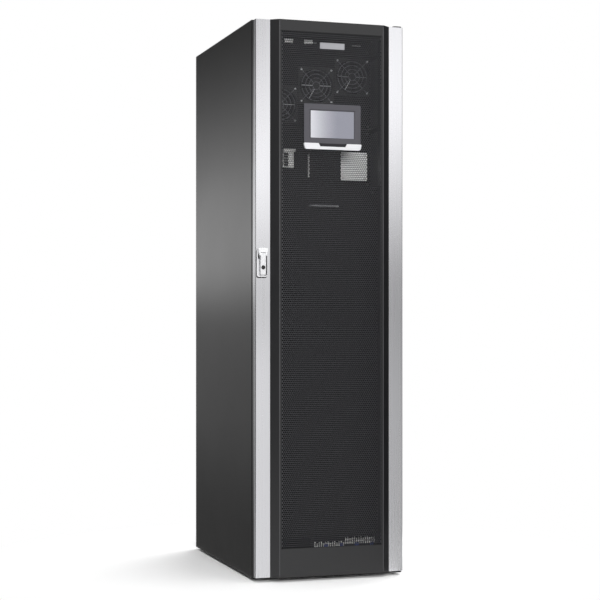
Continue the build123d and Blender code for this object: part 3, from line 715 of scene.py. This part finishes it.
def plain_border(colour, low, high, reach=0.0035):
    """Marks of a perforated sheet: up to a reach from the nearest edge, the plain border has the panel's colour, while
    the holed field keeps the sheet's lighter colour, a painted highlight on the holes' edges. The distance to the edge
    is the lesser of those along X and Z, each folded at the middle."""

    def marks(tree, place, tone, field):
        folded = []
        for axis, start, end in (("X", low.x, high.x), ("Z", low.z, high.z)):
            shifted = reckon(tree, "SUBTRACT", coordinate(tree, place, axis), start)
            folded.append(reckon(tree, "PINGPONG", shifted, (end - start) / 2))
        inside = ranged(tree, reckon(tree, "MINIMUM", *folded), reach, 1.6 * reach, smooth=True)
        return mixed(tree, inside, shade(colour), field)

    return marks


def painted_bend_highlight(colour, bend, width=0.0026):
    """Painted highlight of a bent panel: a lighter line down the inner side of its two bends stands in for the light
    that the rounded bends catch. A mask falls with the distance of |X| from the line's middle and is broken up by the
    grain."""

    def marks(tree, place, tone, coat):
        side = reckon(tree, "ABSOLUTE", coordinate(tree, place, "X"))
        away = reckon(tree, "ABSOLUTE", reckon(tree, "SUBTRACT", side, bend - width / 2))
        mask = ranged(tree, away, end=width / 2, low=1.0, high=0.0, smooth=True)
        return mixed(tree, reckon(tree, "MULTIPLY", mask, tone), coat, shade(colour))

    return marks


def painted_shade_along(axis, start, end, stops):
    """Painted shade on a metal: its colour darkens along an axis by (share of the span, tone) stops."""

    def marks(tree, place, tone, metal):
        tones = grey_ramp(tree, ranged(tree, coordinate(tree, place, axis), start, end), stops)
        return node(tree, "VectorMath", metal, tones, operation="MULTIPLY").outputs[0]

    return marks


def glass_with_painted_reflection(name, left, right, half_width):
    """Display glass with a painted reflection: the colour fades from left to right by a power of the distance along X,
    with the grain group's faint drift in the gloss."""

    def build(tree, place):
        share = ranged(tree, coordinate(tree, place, "X"), -half_width, 0.3 * half_width, 1.0, 0.0)
        reflection_tint = mixed(tree, reckon(tree, "POWER", share, 1.5), shade(right), shade(left))
        grain = node(tree, "Group", node_tree=paint_grain(), Vector=place, Fine=2500.0)
        gloss = ranged(tree, grain.outputs["Tone"], low=0.22, high=0.32)
        return node(tree, "BsdfPrincipled", Base_Color=reflection_tint, Roughness=gloss)

    return material(name, build)


def plastics():
    """The pale, the blank and the dark plastic, which more than one operator uses."""
    colours = settings()[1]
    return (
        coat_of("pale_plastic", colours.pale_plastic, 0.5, spread=0.04, fine=1800.0, bump=0.00001),
        coat_of("blank_plate", colours.blank_white, 0.45, spread=0.03, fine=1500.0, bump=0.00001),
        coat_of("dark_plastic", colours.dark_plastic, 0.4, spread=0.15, fine=1500.0, bump=0.00001),
    )


def dress(finish, *names):
    """Puts a finish on CAD nodes."""
    for name in names:
        owner = NODES[name]
        if not owner.material_slots:
            owner.data.materials.append(finish)
        for place in owner.material_slots:
            place.material = finish


def round_edges(width, *names, segments=2):
    """Rounds the sharp edges of CAD nodes, whose loose triangles are joined first."""
    for name in names:
        owner = NODES[name]
        weld = owner.modifiers.new("join", "WELD")
        weld.merge_threshold = 0.00002
        bevel = owner.modifiers.new("round", "BEVEL")
        bevel.width = width
        bevel.segments = segments
        bevel.limit_method = "ANGLE"
        bevel.angle_limit = math.radians(40)
        even = owner.modifiers.new("even", "WEIGHTED_NORMAL")
        even.keep_sharp = False


# Operators


class UPS_OT_cabinet(Operator):
    """Paint the panels, frame and feet"""

    bl_idname = "ups.cabinet"
    bl_label = "Panels, frame and feet"

    def execute(self, context):
        sizes, colours, _ = settings()
        panels = ("left_side_panel", "right_side_panel", "roof_panel", "rear_panel")
        paint = coat_of(
            "satin_grey_paint", colours.cabinet_grey, 0.34, spread=0.05, fine=700.0, broad=3.0,
            marks=dusted(colours.dust_grey, 0.12),
        )
        dress(paint, *panels)
        round_edges(sizes.edge_round, *panels)
        powder = coat_of("black_powder_coat", colours.frame_black, 0.55, spread=0.12, fine=1300.0, bump=0.00004)
        dress(
            powder, "base_side_rails", "base_cross_rails", "floor_plate", "front_posts", "rear_posts",
            "top_rails", "module_runners", "hinge_brackets",
        )
        dress(coat_of("foot_rubber", colours.rubber_black, 0.75, spread=0.2, fine=1600.0), "levelling_feet")
        return {"FINISHED"}


class UPS_OT_rear_grille(Operator):
    """Perforate the rear grille"""

    bl_idname = "ups.rear_grille"
    bl_label = "Rear grille"

    def execute(self, context):
        sizes = settings()[0]
        plain_edge = 0.006
        low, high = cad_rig.box("rear_exhaust_grille")
        lattice = (sizes.rear_pitch, sizes.rear_row, sizes.rear_hole, plain_edge)
        paint = bpy.data.materials["satin_grey_paint"]
        mesh = sheet_pieces(
            ["rear_mesh"], low, high, high.y, high.y - low.y, lattice, "cabinet", "cabinet_grey", paint,
            facing=1,
        )
        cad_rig.replaces(mesh[0], "rear_exhaust_grille")
        return {"FINISHED"}


class UPS_OT_door(Operator):
    """Finish the door and its trims, perforate its sheet and set the bare plate on it"""

    bl_idname = "ups.door"
    bl_label = "Door"

    def execute(self, context):
        sizes, colours, _ = settings()
        powder = {"roughness": 0.42, "spread": 0.07, "fine": 1100.0, "broad": 3.0}
        black = coat_of("door_black_coat", colours.door_black, specular=0.7, **powder)
        dress(black, "door_end_plates", "door_stiles", "latch_case")
        # The door panel's coat carries a painted highlight down its bends.
        painted_light = painted_bend_highlight(colours.bend_highlight_grey, self.bend_place())
        panel = coat_of("door_panel_coat", colours.door_black, specular=0.7, marks=painted_light, **powder)
        dress(panel, "door_panel")
        self.trims(sizes, colours)
        low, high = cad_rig.box("door_perforated_sheet")
        border = plain_border(colours.door_black, low, high)
        body_low, body_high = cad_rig.box("display_housing")
        lap = 0.006
        mesh = sheet_pieces(
            ["door_mesh_bottom", "door_mesh_middle", "door_mesh_top"], low, high, low.y, sizes.sheet_thickness,
            (sizes.hole_pitch, sizes.hole_row, sizes.hole_width, sizes.sheet_edge), "door", "door_black",
            # The sheet's lighter coat paints the highlights on the holes' edges; its plain border keeps the door's
            # colour.
            coat_of("door_sheet_coat", colours.mesh_coat_and_highlight, marks=border, **powder),
            window=(body_low.x + lap, body_low.z + lap, body_high.x - lap, body_high.z - lap),
        )
        for piece in mesh:
            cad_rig.replaces(piece, "door_perforated_sheet")
        outline = rounded_box(sizes.plate_width / 2, sizes.plate_height / 2, radius=0.0016)
        layers = [(0, -0.0002), (0, 0.0012), (0.0004, 0.0017), (0.0009, 0.0019)]
        satin = brushed("plate_satin", colours.plate_silver, 0.34)
        spot = (0.0, low.y, sizes.plate_level)
        plates("front_plate_blank", spot, outline, layers, "trim_silver", satin, body="door")
        return {"FINISHED"}

    def bend_place(self):
        """Where the door panel bends back, as a distance from the middle: the widest reach of its foremost
        face."""
        flatness = 0.0002
        mesh = NODES["door_panel"].data
        points = np.empty(3 * len(mesh.vertices), np.float32)
        mesh.vertices.foreach_get("co", points)
        points = points.reshape(-1, 3)
        foremost = points[:, 1] < points[:, 1].min() + flatness
        return float(np.abs(points[foremost, 0]).max())

    def trims(self, sizes, colours):
        """Brushed trims whose sides have a painted shade darkening towards the rear, with dark strips in the front
        part of the grooves down their sides that paint the grooves' shade: a profile that rises from the front edge to
        the rear one, with a slight swell, carried up."""
        low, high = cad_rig.box("door_left_trim")
        # Painted shade: these tones darken the trims' sides towards the rear.
        stops = [(0.0, 1.0), (0.04, 1.0), (0.09, 0.9), (0.5, 0.95), (0.7, 0.26), (0.85, 0.12), (1.0, 0.08)]
        silver = brushed(
            "brushed_trim", colours.trim_silver, 0.28, across=420.0, along=1.5, bump=0.000006,
            marks=painted_shade_along("Y", low.y, high.y, stops),
        )
        dress(silver, "door_left_trim", "door_right_trim")
        round_edges(sizes.edge_round, "door_left_trim", "door_right_trim")
        low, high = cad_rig.box("door_right_trim")
        start, width, end_gap = 0.0036, 0.0058, 0.001
        back, depth, rise, swell = 0.00155, 0.0013, 0.0009, 0.0001
        share = np.linspace(0, 1, 7)
        face = high.x - depth + rise * share + swell * np.sin(math.pi * share)
        across = np.concatenate([[high.x - back], face, [high.x - back]])
        along = low.y + start + width * np.concatenate([[0], share, [1]])
        ends = (low.z + end_gap, high.z - end_gap)
        strips = joined(upright(across, along, *ends), upright(-across[::-1], along[::-1], *ends))
        # Painted shade: dark strips without gloss fill the grooves.
        dark = coat_of("joint_black", colours.joint_black, 0.9, spread=0.2, fine=1500.0, specular=0.0)
        new_piece("trim_groove_strips", strips, "door", "lock_black", dark)


class UPS_OT_display(Operator):
    """Finish the operating display"""

    bl_idname = "ups.display"
    bl_label = "Operating display"

    def execute(self, context):
        colours = settings()[1]
        bezel = coat_of("bezel_plastic", colours.bezel_grey, 0.45, spread=0.05, fine=2200.0, specular=0.3)
        dress(bezel, "display_housing")
        half_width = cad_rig.box("display_screen")[1].x
        # The glass's left-to-right fade is a painted reflection.
        glass = glass_with_painted_reflection("display_glass", colours.screen_left, colours.screen_right, half_width)
        dress(glass, "display_screen")
        silver = coat_of("display_silver_paint", colours.display_silver, 0.3, spread=0.03, coat=0.3)
        dress(silver, "display_trim")
        dress(coat_of("status_lens", colours.lens_black, 0.3, fine=2000.0, specular=0.3), "status_strip")
        round_edges(0.001, "display_trim", "display_housing")
        return {"FINISHED"}


class UPS_OT_handle(Operator):
    """Finish the swing handle, with a painted shade on its lever and dark sheets in and round its plate that paint the
    plate's shade
    """

    bl_idname = "ups.handle"
    bl_label = "Swing handle"

    def execute(self, context):
        colours = settings()[1]
        lines = {"spread": 0.04, "across": 500.0, "along": 20.0}
        cast = brushed("handle_cast", colours.handle_chrome, 0.34, metallic=0.4, **lines)
        dress(cast, "handle_plate", "handle_head")
        # Painted shade: the lever is a darker copy of the head's cast metal.
        painted_light = brushed("lever_cast", shade(colours.handle_chrome, 0.95), 0.3, metallic=0.55, **lines)
        dress(painted_light, "handle_lever")
        round_edges(0.0006, "handle_plate")
        round_edges(0.0014, "handle_head", segments=3)
        round_edges(0.0026, "handle_lever", segments=4)
        lock = coat_of("lock_black", colours.lock_black, 0.3, spread=0.2, fine=2500.0)
        dress(lock, "key_cylinder")
        # Dark sheets paint the shade in the plate's dish, round its foot and on its right rim.
        self.shade_sheets(lock)
        return {"FINISHED"}

    def shade_sheets(self, dark):
        """Thin dark rounded sheets that paint the shade in and round the handle's plate: two patches in the plate's
        dish, one that stands out round the foot of the plate, and a strip on its right rim."""
        low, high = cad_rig.box("handle_plate")
        lever_low, lever_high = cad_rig.box("handle_lever")
        head_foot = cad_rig.box("handle_head")[0].z
        rim, rim_end, dish, below_head = 0.0026, 0.0045, 0.002, 0.010
        skin = [(0, 0), (0, 0.0002), (0.0001, 0.0003)]
        top = high.z - rim_end
        left = patch((low.x + rim, lever_low.x), high.y - dish, (head_foot - below_head, top), 0.0012, skin)
        right = patch((lever_high.x, high.x - rim), high.y - dish, (low.z + rim_end, top), 0.0012, skin)
        new_piece("handle_dish_lining", joined(left, right), "door", "lock_black", dark)
        side, below, under = 0.0011, 0.0032, 0.004
        outer_shade = patch(
            (low.x - side, high.x + side), high.y, (low.z - below, high.z - under), 0.006,
            raised(0.0006, 0.0003, 0.0009), steps=5,
        )
        new_piece("handle_gasket", outer_shade, "door", "lock_black", dark)
        outer, inner, foot = 0.00025, 0.00245, 0.005
        rim_shade = patch(
            (high.x - inner, high.x - outer), low.y, (low.z + foot, head_foot), 0.0009,
            raised(0.0002, 0.0003, 0.0004), steps=2,
        )
        new_piece("handle_buffer", rim_shade, "door", "lock_black", dark)


class UPS_OT_fans(Operator):
    """Finish the fans, and give them wire guards and screws"""

    bl_idname = "ups.fans"
    bl_label = "Cooling fans"

    def execute(self, context):
        sizes, colours, _ = settings()
        plastic = coat_of("fan_plastic", colours.fan_black, 0.45, spread=0.12, fine=1500.0)
        drawn = {"roughness": 0.4, "spread": 0.08, "across": 700.0, "along": 90.0}
        dim = brushed("guard_wire", colours.guard_grey, metallic=0.3, **drawn)
        bright = brushed("guard_bar", colours.guard_bar, metallic=0.3, **drawn)
        zinc = brushed("screw_zinc", colours.guard_bar, metallic=0.1, **drawn)
        wire = sizes.guard_wire
        radii = (0.0123, 0.0246, 0.0370, 0.0495)
        leg_start, leg_end, hole = 0.010, 0.070, 0.051
        corners = np.array([(x, 0, z) for x in (-hole, hole) for z in (-hole, hole)])
        for side in ("left", "middle", "right"):
            dress(plastic, f"fan_frame_{side}", f"fan_rotor_{side}")
            low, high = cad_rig.box(f"finger_guard_{side}")
            centre = (low + high) / 2
            front = low.y + wire / 2
            rings = wire_rings((centre.x, front + SINK, centre.z), radii, wire)
            hub = np.array([centre.x, front + 0.6 * wire, centre.z])
            legs = wire_spokes(hub, [45, 135, 225, 315], leg_start, leg_end, wire)
            guard = new_piece(
                f"guard_rings_{side}", joined(rings, legs), "cabinet", "guard_steel", dim, smooth=True
            )
            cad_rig.replaces(guard, f"finger_guard_{side}")
            # Painted highlight: the spokes are paler than the rings of the same wire.
            bars = wire_spokes(hub, [0, 180, 240], radii[0], radii[-1], wire)
            spokes = new_piece(f"guard_spokes_{side}", bars, "cabinet", "guard_steel", bright, smooth=True)
            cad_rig.replaces(spokes, f"finger_guard_{side}")
            spots = corners + np.array([centre.x, high.y, centre.z])
            plates(f"fan_screws_{side}", spots, disc(sizes.screw_radius), SCREW_HEAD, "guard_steel", zinc)
        return {"FINISHED"}


class UPS_OT_modules(Operator):
    """Finish the modules, with blank plates, ledges and screws"""

    bl_idname = "ups.modules"
    bl_label = "Modules"

    def execute(self, context):
        sizes, colours, _ = settings()
        pale, blank, dark = plastics()
        paint = coat_of("module_paint", colours.module_black, 0.6, spread=0.08, fine=1000.0, specular=0.2)
        dress(paint, *MODULES, "slot_covers")
        dress(pale, "interface_card")
        low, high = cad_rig.box("battery_grip")
        # Painted shade: the grip's upper part is darkened.
        grip = brushed(
            "grip_satin", colours.bare_steel, 0.4, spread=0.05, along=60.0, metallic=0.3,
            marks=painted_shade_along("Z", low.z, high.z, [(0.0, 1.0), (0.5, 1.0), (0.8, 0.2), (1.0, 0.2)]),
        )
        dress(grip, "battery_grip")
        round_edges(0.0027, "battery_grip", segments=4)
        self.square_plate(sizes, pale, blank)
        self.slot_plates(pale, blank)
        spots = []
        for name, inset in zip(MODULES, (0.012, 0.008, 0.012, 0.016)):
            low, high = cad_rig.box(name)
            ends = [(x, z) for x in (low.x + inset, high.x - inset) for z in (low.z + inset, high.z - inset)]
            spots += [(x, low.y, z) for x, z in ends]
        plates("module_screws", spots, disc(sizes.screw_radius), SCREW_HEAD, "guard_steel", dark)
        return {"FINISHED"}

    def square_plate(self, sizes, pale, blank):
        """Blank square plate on the connection module, with a rivet near each corner."""
        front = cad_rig.box("connection_module")[0].y
        x, z = 0.129, 1.312
        half = sizes.info_plate / 2
        thin = raised(0.0005, 0.0002, 0.0007)
        outline = rounded_box(half, half, radius=0.003)
        plates("square_plate_blank", (x, front, z), outline, thin, "terminal_pale", blank)
        reach = half - 0.008
        on_plate = front - 0.0006
        rivets = [(x + across, on_plate, z + up) for across in (-reach, reach) for up in (-reach, reach)]
        head = [(0, -SINK), (0, 0.0006), (0.0008, 0.0011), (0.0020, 0.0013)]
        plates("square_plate_rivets", rivets, disc(0.003, 10), head, "guard_steel", pale)

    def slot_plates(self, pale, blank):
        """Two blank plates on the slot covers, with a short ledge beside them and a longer one on the tray."""
        thin = raised(0.0005, 0.0002, 0.0007)
        cover_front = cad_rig.box("slot_covers")[0].y
        tray_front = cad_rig.box("communication_tray")[0].y
        level = 1.7085
        spots = [(-0.0935, cover_front, level), (-0.0275, cover_front, level)]
        outline = rounded_box(0.0145, 0.007, radius=0.001)
        plates("slot_plates_blank", spots, outline, thin, "terminal_pale", blank)
        short = rounded_box(0.0048, 0.0013, radius=0.0006, steps=2)
        long = rounded_box(0.0145, 0.0013, radius=0.0006, steps=2)
        ledges = joined(
            layered((-0.0048, cover_front, 1.7056), short, thin),
            layered((0.137, tray_front, 1.7037), long, thin),
        )
        new_piece("slot_ledges", ledges, "cabinet", "guard_steel", pale)


class UPS_OT_terminals(Operator):
    """Finish the terminals, with header, contacts, plugs, clamp levers, marker tabs and dark discs that paint the
    screw wells' shade
    """

    bl_idname = "ups.terminals"
    bl_label = "Terminals"

    def execute(self, context):
        colours = settings()[1]
        pale, blank, dark = plastics()
        dress(pale, "signal_terminals")
        grey = coat_of("terminal_grey", colours.terminal_grey, 0.5, spread=0.06, fine=1800.0)
        dress(grey, "terminal_blocks")
        dress(brushed("rail_zinc", colours.rail_zinc, 0.45, across=1400.0, along=60.0), "terminal_rail")
        self.signal_parts(pale, blank, dark)
        self.lever_row(colours, pale, dark)
        return {"FINISHED"}

    def signal_parts(self, pale, blank, dark):
        """Header bar over the signal terminals, and in each of five rows a dark contact at the left and a plug
        at the right."""
        low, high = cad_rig.box("signal_terminals")
        middle = (low + high) / 2
        pitch, header_level, plug_depth = 0.009, 1.357, 0.005
        spot = (middle.x + 0.004, high.y, header_level)
        header = rounded_box(0.0205, 0.004, radius=0.0008)
        plates("signal_header", spot, header, raised(0.0115, 0.0005, 0.012), "terminal_pale", pale)
        rows = [middle.z + pitch * step for step in (-2, -1, 0, 1, 2)]
        spots = [(middle.x - 0.0085, low.y, z) for z in rows]
        contact = rounded_box(0.0078, 0.0040, radius=0.0008, steps=2)
        plates("signal_contacts", spots, contact, raised(0.0014, 0.0006, 0.0018), "lock_black", dark)
        spots = [(middle.x + 0.0075, low.y + plug_depth, z) for z in rows]
        plug = rounded_box(0.0043, 0.0028, radius=0.0006, steps=2)
        plates("signal_plugs", spots, plug, raised(0.0058, 0.0006, 0.0064), "terminal_pale", blank)

    def lever_row(self, colours, pale, dark):
        """Clamp levers on the faces of the terminal blocks, of three lengths by turns and higher at the right: rounded
        bars whose foot is on the block's face, with blue markers in front of some and, below, dark discs that paint
        the shade of the screw wells."""
        low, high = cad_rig.box("terminal_blocks")
        count = 28
        number = np.arange(count)
        across = low.x + (number + 0.5) * (high.x - low.x) / count
        tall = number >= count / 2

        def on_face(level):
            """A place on the blocks' face for each lever, at a level from their top edge."""
            return np.stack([across, np.full(count, low.y), np.full(count, high.z + level)], axis=-1)

        levers = []
        for step, short in enumerate((0.0, 0.004, 0.0015)):
            for picked, foot, head in ((~tall, 0.013, 0.003), (tall, 0.007, 0.015)):
                lever = rounded_box(0.0018, (foot + head - short) / 2, radius=0.0010, steps=2)
                spots = on_face((head - short - foot) / 2)[picked & (number % 3 == step)]
                levers.append(layered(spots, lever, raised(0.0022, 0.0006, 0.0028)))
        new_piece("clamp_levers", joined(*levers), "cabinet", "terminal_pale", pale)
        blue = coat_of("blue_plastic", colours.blue_plastic, 0.45, spread=0.05, fine=1800.0)
        spots = on_face(-0.0085)[5::7]
        marker = rounded_box(0.0066, 0.0046, radius=0.001, steps=2)
        plates("blue_markers", spots, marker, raised(0.0032, 0.0005, 0.0036), "terminal_pale", blue)
        # Painted shade: dark discs stand in for the screw wells' shade.
        spots = on_face(-0.018)[::2]
        plates("terminal_wells", spots, disc(0.0028, 10), raised(0.0002, 0.0004, 0.0003), "lock_black", dark)


class UPS_OT_stage(Operator):
    """Set the floor, light and camera"""

    bl_idname = "ups.stage"
    bl_label = "Floor, light and camera"

    def execute(self, context):
        stage = settings()[2]
        scene = context.scene
        scene.view_settings.view_transform = "Standard"
        self.world(scene, stage)
        self.floor()
        self.cards()
        self.lamps(scene, stage)
        self.camera(scene, stage)
        return {"FINISHED"}

    def seen_rays(self, tree):
        """Two masks: rays from the camera or from gloss, and these with the rays through glass."""
        path = node(tree, "LightPath").outputs
        seen = reckon(tree, "MAXIMUM", path["Is Camera Ray"], path["Is Glossy Ray"])
        return seen, reckon(tree, "MAXIMUM", seen, path["Is Transmission Ray"])

    def world(self, scene, stage):
        """White for the camera and for gloss and glass, and an even light of its own strength on the object."""
        scene.world = bpy.data.worlds.new("studio")
        tree = cleared(scene.world)
        strength = ranged(tree, self.seen_rays(tree)[1], low=stage.ambient)
        light = node(tree, "Background", Color=(1, 1, 1, 1), Strength=strength)
        node(tree, "OutputWorld", light.outputs[0])

    def floor(self):
        """Pale floor: flat rings round the object, lit near it, so that it keeps the object's shadow, and plain
        white further out."""
        around, lit, white = 64, 0.3, 1.1
        turn = np.arange(around) * TURN / around
        reach = np.array([0.05, 1.0, 3.0, 12.0, 60.0])[:, None]
        points = np.stack([reach * np.cos(turn), reach * np.sin(turn), 0 * reach * turn], axis=-1)
        index = numbered(points)
        after = np.roll(index, -1, axis=1)
        rings = np.stack([index[:-1], index[1:], after[1:], after[:-1]], axis=-1).reshape(-1, 4)

        def build(tree, place):
            away = node(tree, "VectorMath", place, operation="LENGTH").outputs["Value"]
            seen, clear = self.seen_rays(tree)
            share = reckon(tree, "MULTIPLY", ranged(tree, away, lit, white, smooth=True), clear)
            pale = mixed(tree, seen, (0.4, 0.4, 0.4, 1), (0.95, 0.95, 0.95, 1))
            matt = node(tree, "BsdfDiffuse", Color=pale)
            glow = node(tree, "Emission", Color=(1, 1, 1, 1), Strength=1.0)
            return node(tree, "MixShader", share, matt.outputs[0], glow.outputs[0])

        shape = (points.reshape(-1, 3), [rings, index[:1]])
        floor = new_piece("floor", shape, None, None, material("pale_floor", build))
        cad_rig.stage(floor)

    def cards(self):
        """Cards at the left, in front and at the right: a wall, and for most a strip on the floor before it."""
        tall, high = 2.6, 3.6
        self.card(
            "left_card", (-0.25, -0.33), (-0.62, -0.33), high, (0, 5.83, 0),
            [
                (0.0, 0.14), (0.04, 0.21), (0.087, 0.28), (0.13, 0.32), (0.22, 0.37), (0.295, 1.26),
                (0.36, 1.15), (0.42, 0.68), (0.47, 0.38), (0.52, 0.17), (0.60, 0.03),
            ],
        )
        self.card(
            "front_left_card", (-1.8, -0.42), (-1.8, -1.9), tall, (2.33, 0, 0),
            [
                (0.0, 0.92), (0.16, 0.97), (0.265, 1.1), (0.33, 0.54), (0.44, 0.99), (0.527, 1.52),
                (0.62, 1.25), (0.70, 1.02), (0.80, 0.66),
            ],
        )
        self.card(
            "front_right_card", (0.53, -0.42), (0.53, -1.9), tall, (2.3, 0, 0),
            [
                (0.0, 0.60), (0.04, 0.51), (0.15, 0.54), (0.27, 0.46), (0.36, 0.29), (0.55, 1.03),
                (0.655, 1.60), (0.72, 1.56), (0.80, 1.34),
            ],
        )
        self.card("left_front_card", None, (-1.81, -3.6), tall, (0, 4.1, 0), [(0.0, 0.08), (1.0, 0.08)])
        self.card(
            "right_front_card", (0.25, -1.4), (0.95, -1.4), tall, (0, 1.6, 0), [(0.0, 0.03), (1.0, 0.12)]
        )
        self.card(
            "right_card", (0.25, 0.2), (0.95, 0.2), high, (0, 5.3, 0),
            [(0.0, 0.12), (0.1, 0.3), (0.24, 0.38), (0.33, 1.2), (0.44, 0.7), (0.52, 0.2), (0.6, 0.05)],
        )

    def card(self, name, strip, wall, height, run, stops):
        """Studio card that only reflections see: a profile, from the strip's edge to the wall's foot and up, is
        carried along a straight run. Its brightness is set by (share of the height, tone) stops."""
        foot = 0.004
        profile = np.array([(*place, foot) for place in (strip, wall) if place] + [(*wall, height)])
        points = profile[:, None] + np.linspace(0, 1, 3)[:, None] * np.array(run)
        index = numbered(points)
        faces = np.stack([index[:-1, :-1], index[:-1, 1:], index[1:, 1:], index[1:, :-1]], axis=-1)

        def build(tree, place):
            share = ranged(tree, coordinate(tree, place, "Z"), end=height)
            return node(tree, "Emission", Color=grey_ramp(tree, share, stops))

        shape = (points.reshape(-1, 3), [faces.reshape(-1, 4)])
        card = new_piece(name, shape, None, None, material(name, build))
        card.visible_camera = card.visible_diffuse = card.visible_shadow = card.visible_transmission = False
        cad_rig.stage(card)

    def lamps(self, scene, stage):
        """Four soft lamps, each turned to the middle of the object."""
        target = np.array([0, -0.05, 1.0])
        rig = [
            ("key_lamp", (-0.4, -4.6, 1.8), 1.0, stage.key_power),
            ("top_lamp", (0.2, -0.4, 4.2), 3.2, stage.top_power),
            ("back_lamp", (1.7, 3.8, 2.4), 2.0, stage.back_power),
            ("right_lamp", (3.2, 2.6, 2.0), 2.4, stage.right_power),
        ]
        for name, place, size, power in rig:
            data = bpy.data.lights.new(name, "AREA")
            data.shape = "SQUARE"
            data.size = size
            data.energy = power
            lamp = bpy.data.objects.new(name, data)
            scene.collection.objects.link(lamp)
            x, y, z = target - np.array(place)
            tilt = math.pi / 2 + math.atan2(z, math.hypot(x, y))
            lamp.location = place
            lamp.rotation_euler = (tilt, 0, math.atan2(y, x) - math.pi / 2)
            lamp.visible_camera = lamp.visible_glossy = False

    def camera(self, scene, stage):
        """Level camera with a raised lens, so that uprights stay parallel."""
        data = bpy.data.cameras.new("front_left")
        data.sensor_width = 36.0
        data.lens = stage.focal_length
        data.shift_y = stage.lens_rise
        camera = bpy.data.objects.new("front_left", data)
        camera.location = stage.camera_place
        camera.rotation_euler = (math.pi / 2, 0, -stage.camera_turn)
        scene.collection.objects.link(camera)
        scene.camera = camera


OPERATORS = (
    UPS_OT_cabinet, UPS_OT_rear_grille, UPS_OT_door, UPS_OT_display, UPS_OT_handle, UPS_OT_fans,
    UPS_OT_modules, UPS_OT_terminals, UPS_OT_stage,
)


class UPS_PT_parts(Panel):
    """Lists the cabinet's operators"""

    bl_idname = "UPS_PT_parts"
    bl_label = "UPS cabinet"
    bl_space_type = "VIEW_3D"
    bl_region_type = "UI"
    bl_category = "UPS cabinet"

    def draw(self, context):
        for operator in OPERATORS:
            self.layout.operator(operator.bl_idname)


CLASSES = (CabinetSizes, CabinetColours, CabinetStage, *OPERATORS, UPS_PT_parts)


def register():
    for item in CLASSES:
        bpy.utils.register_class(item)
    bpy.types.Scene.ups_sizes = PointerProperty(type=CabinetSizes)
    bpy.types.Scene.ups_colours = PointerProperty(type=CabinetColours)
    bpy.types.Scene.ups_stage = PointerProperty(type=CabinetStage)


def unregister():
    del bpy.types.Scene.ups_sizes, bpy.types.Scene.ups_colours, bpy.types.Scene.ups_stage
    for item in reversed(CLASSES):
        bpy.utils.unregister_class(item)


def main():
    """Registers the classes, runs the operators in order and writes the sizes of the frame and of the dressed
    part."""
    register()
    bpy.ops.ups.cabinet()
    bpy.ops.ups.rear_grille()
    bpy.ops.ups.door()
    bpy.ops.ups.display()
    bpy.ops.ups.handle()
    bpy.ops.ups.fans()
    bpy.ops.ups.modules()
    bpy.ops.ups.terminals()
    bpy.ops.ups.stage()
    sizes = {"cad": [list(corner) for corner in CAD_BOX], "visual": [list(corner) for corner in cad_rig.bounds()]}
    with open("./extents.json", "w") as out:
        json.dump(sizes, out)


if __name__ == "__main__":
    main()
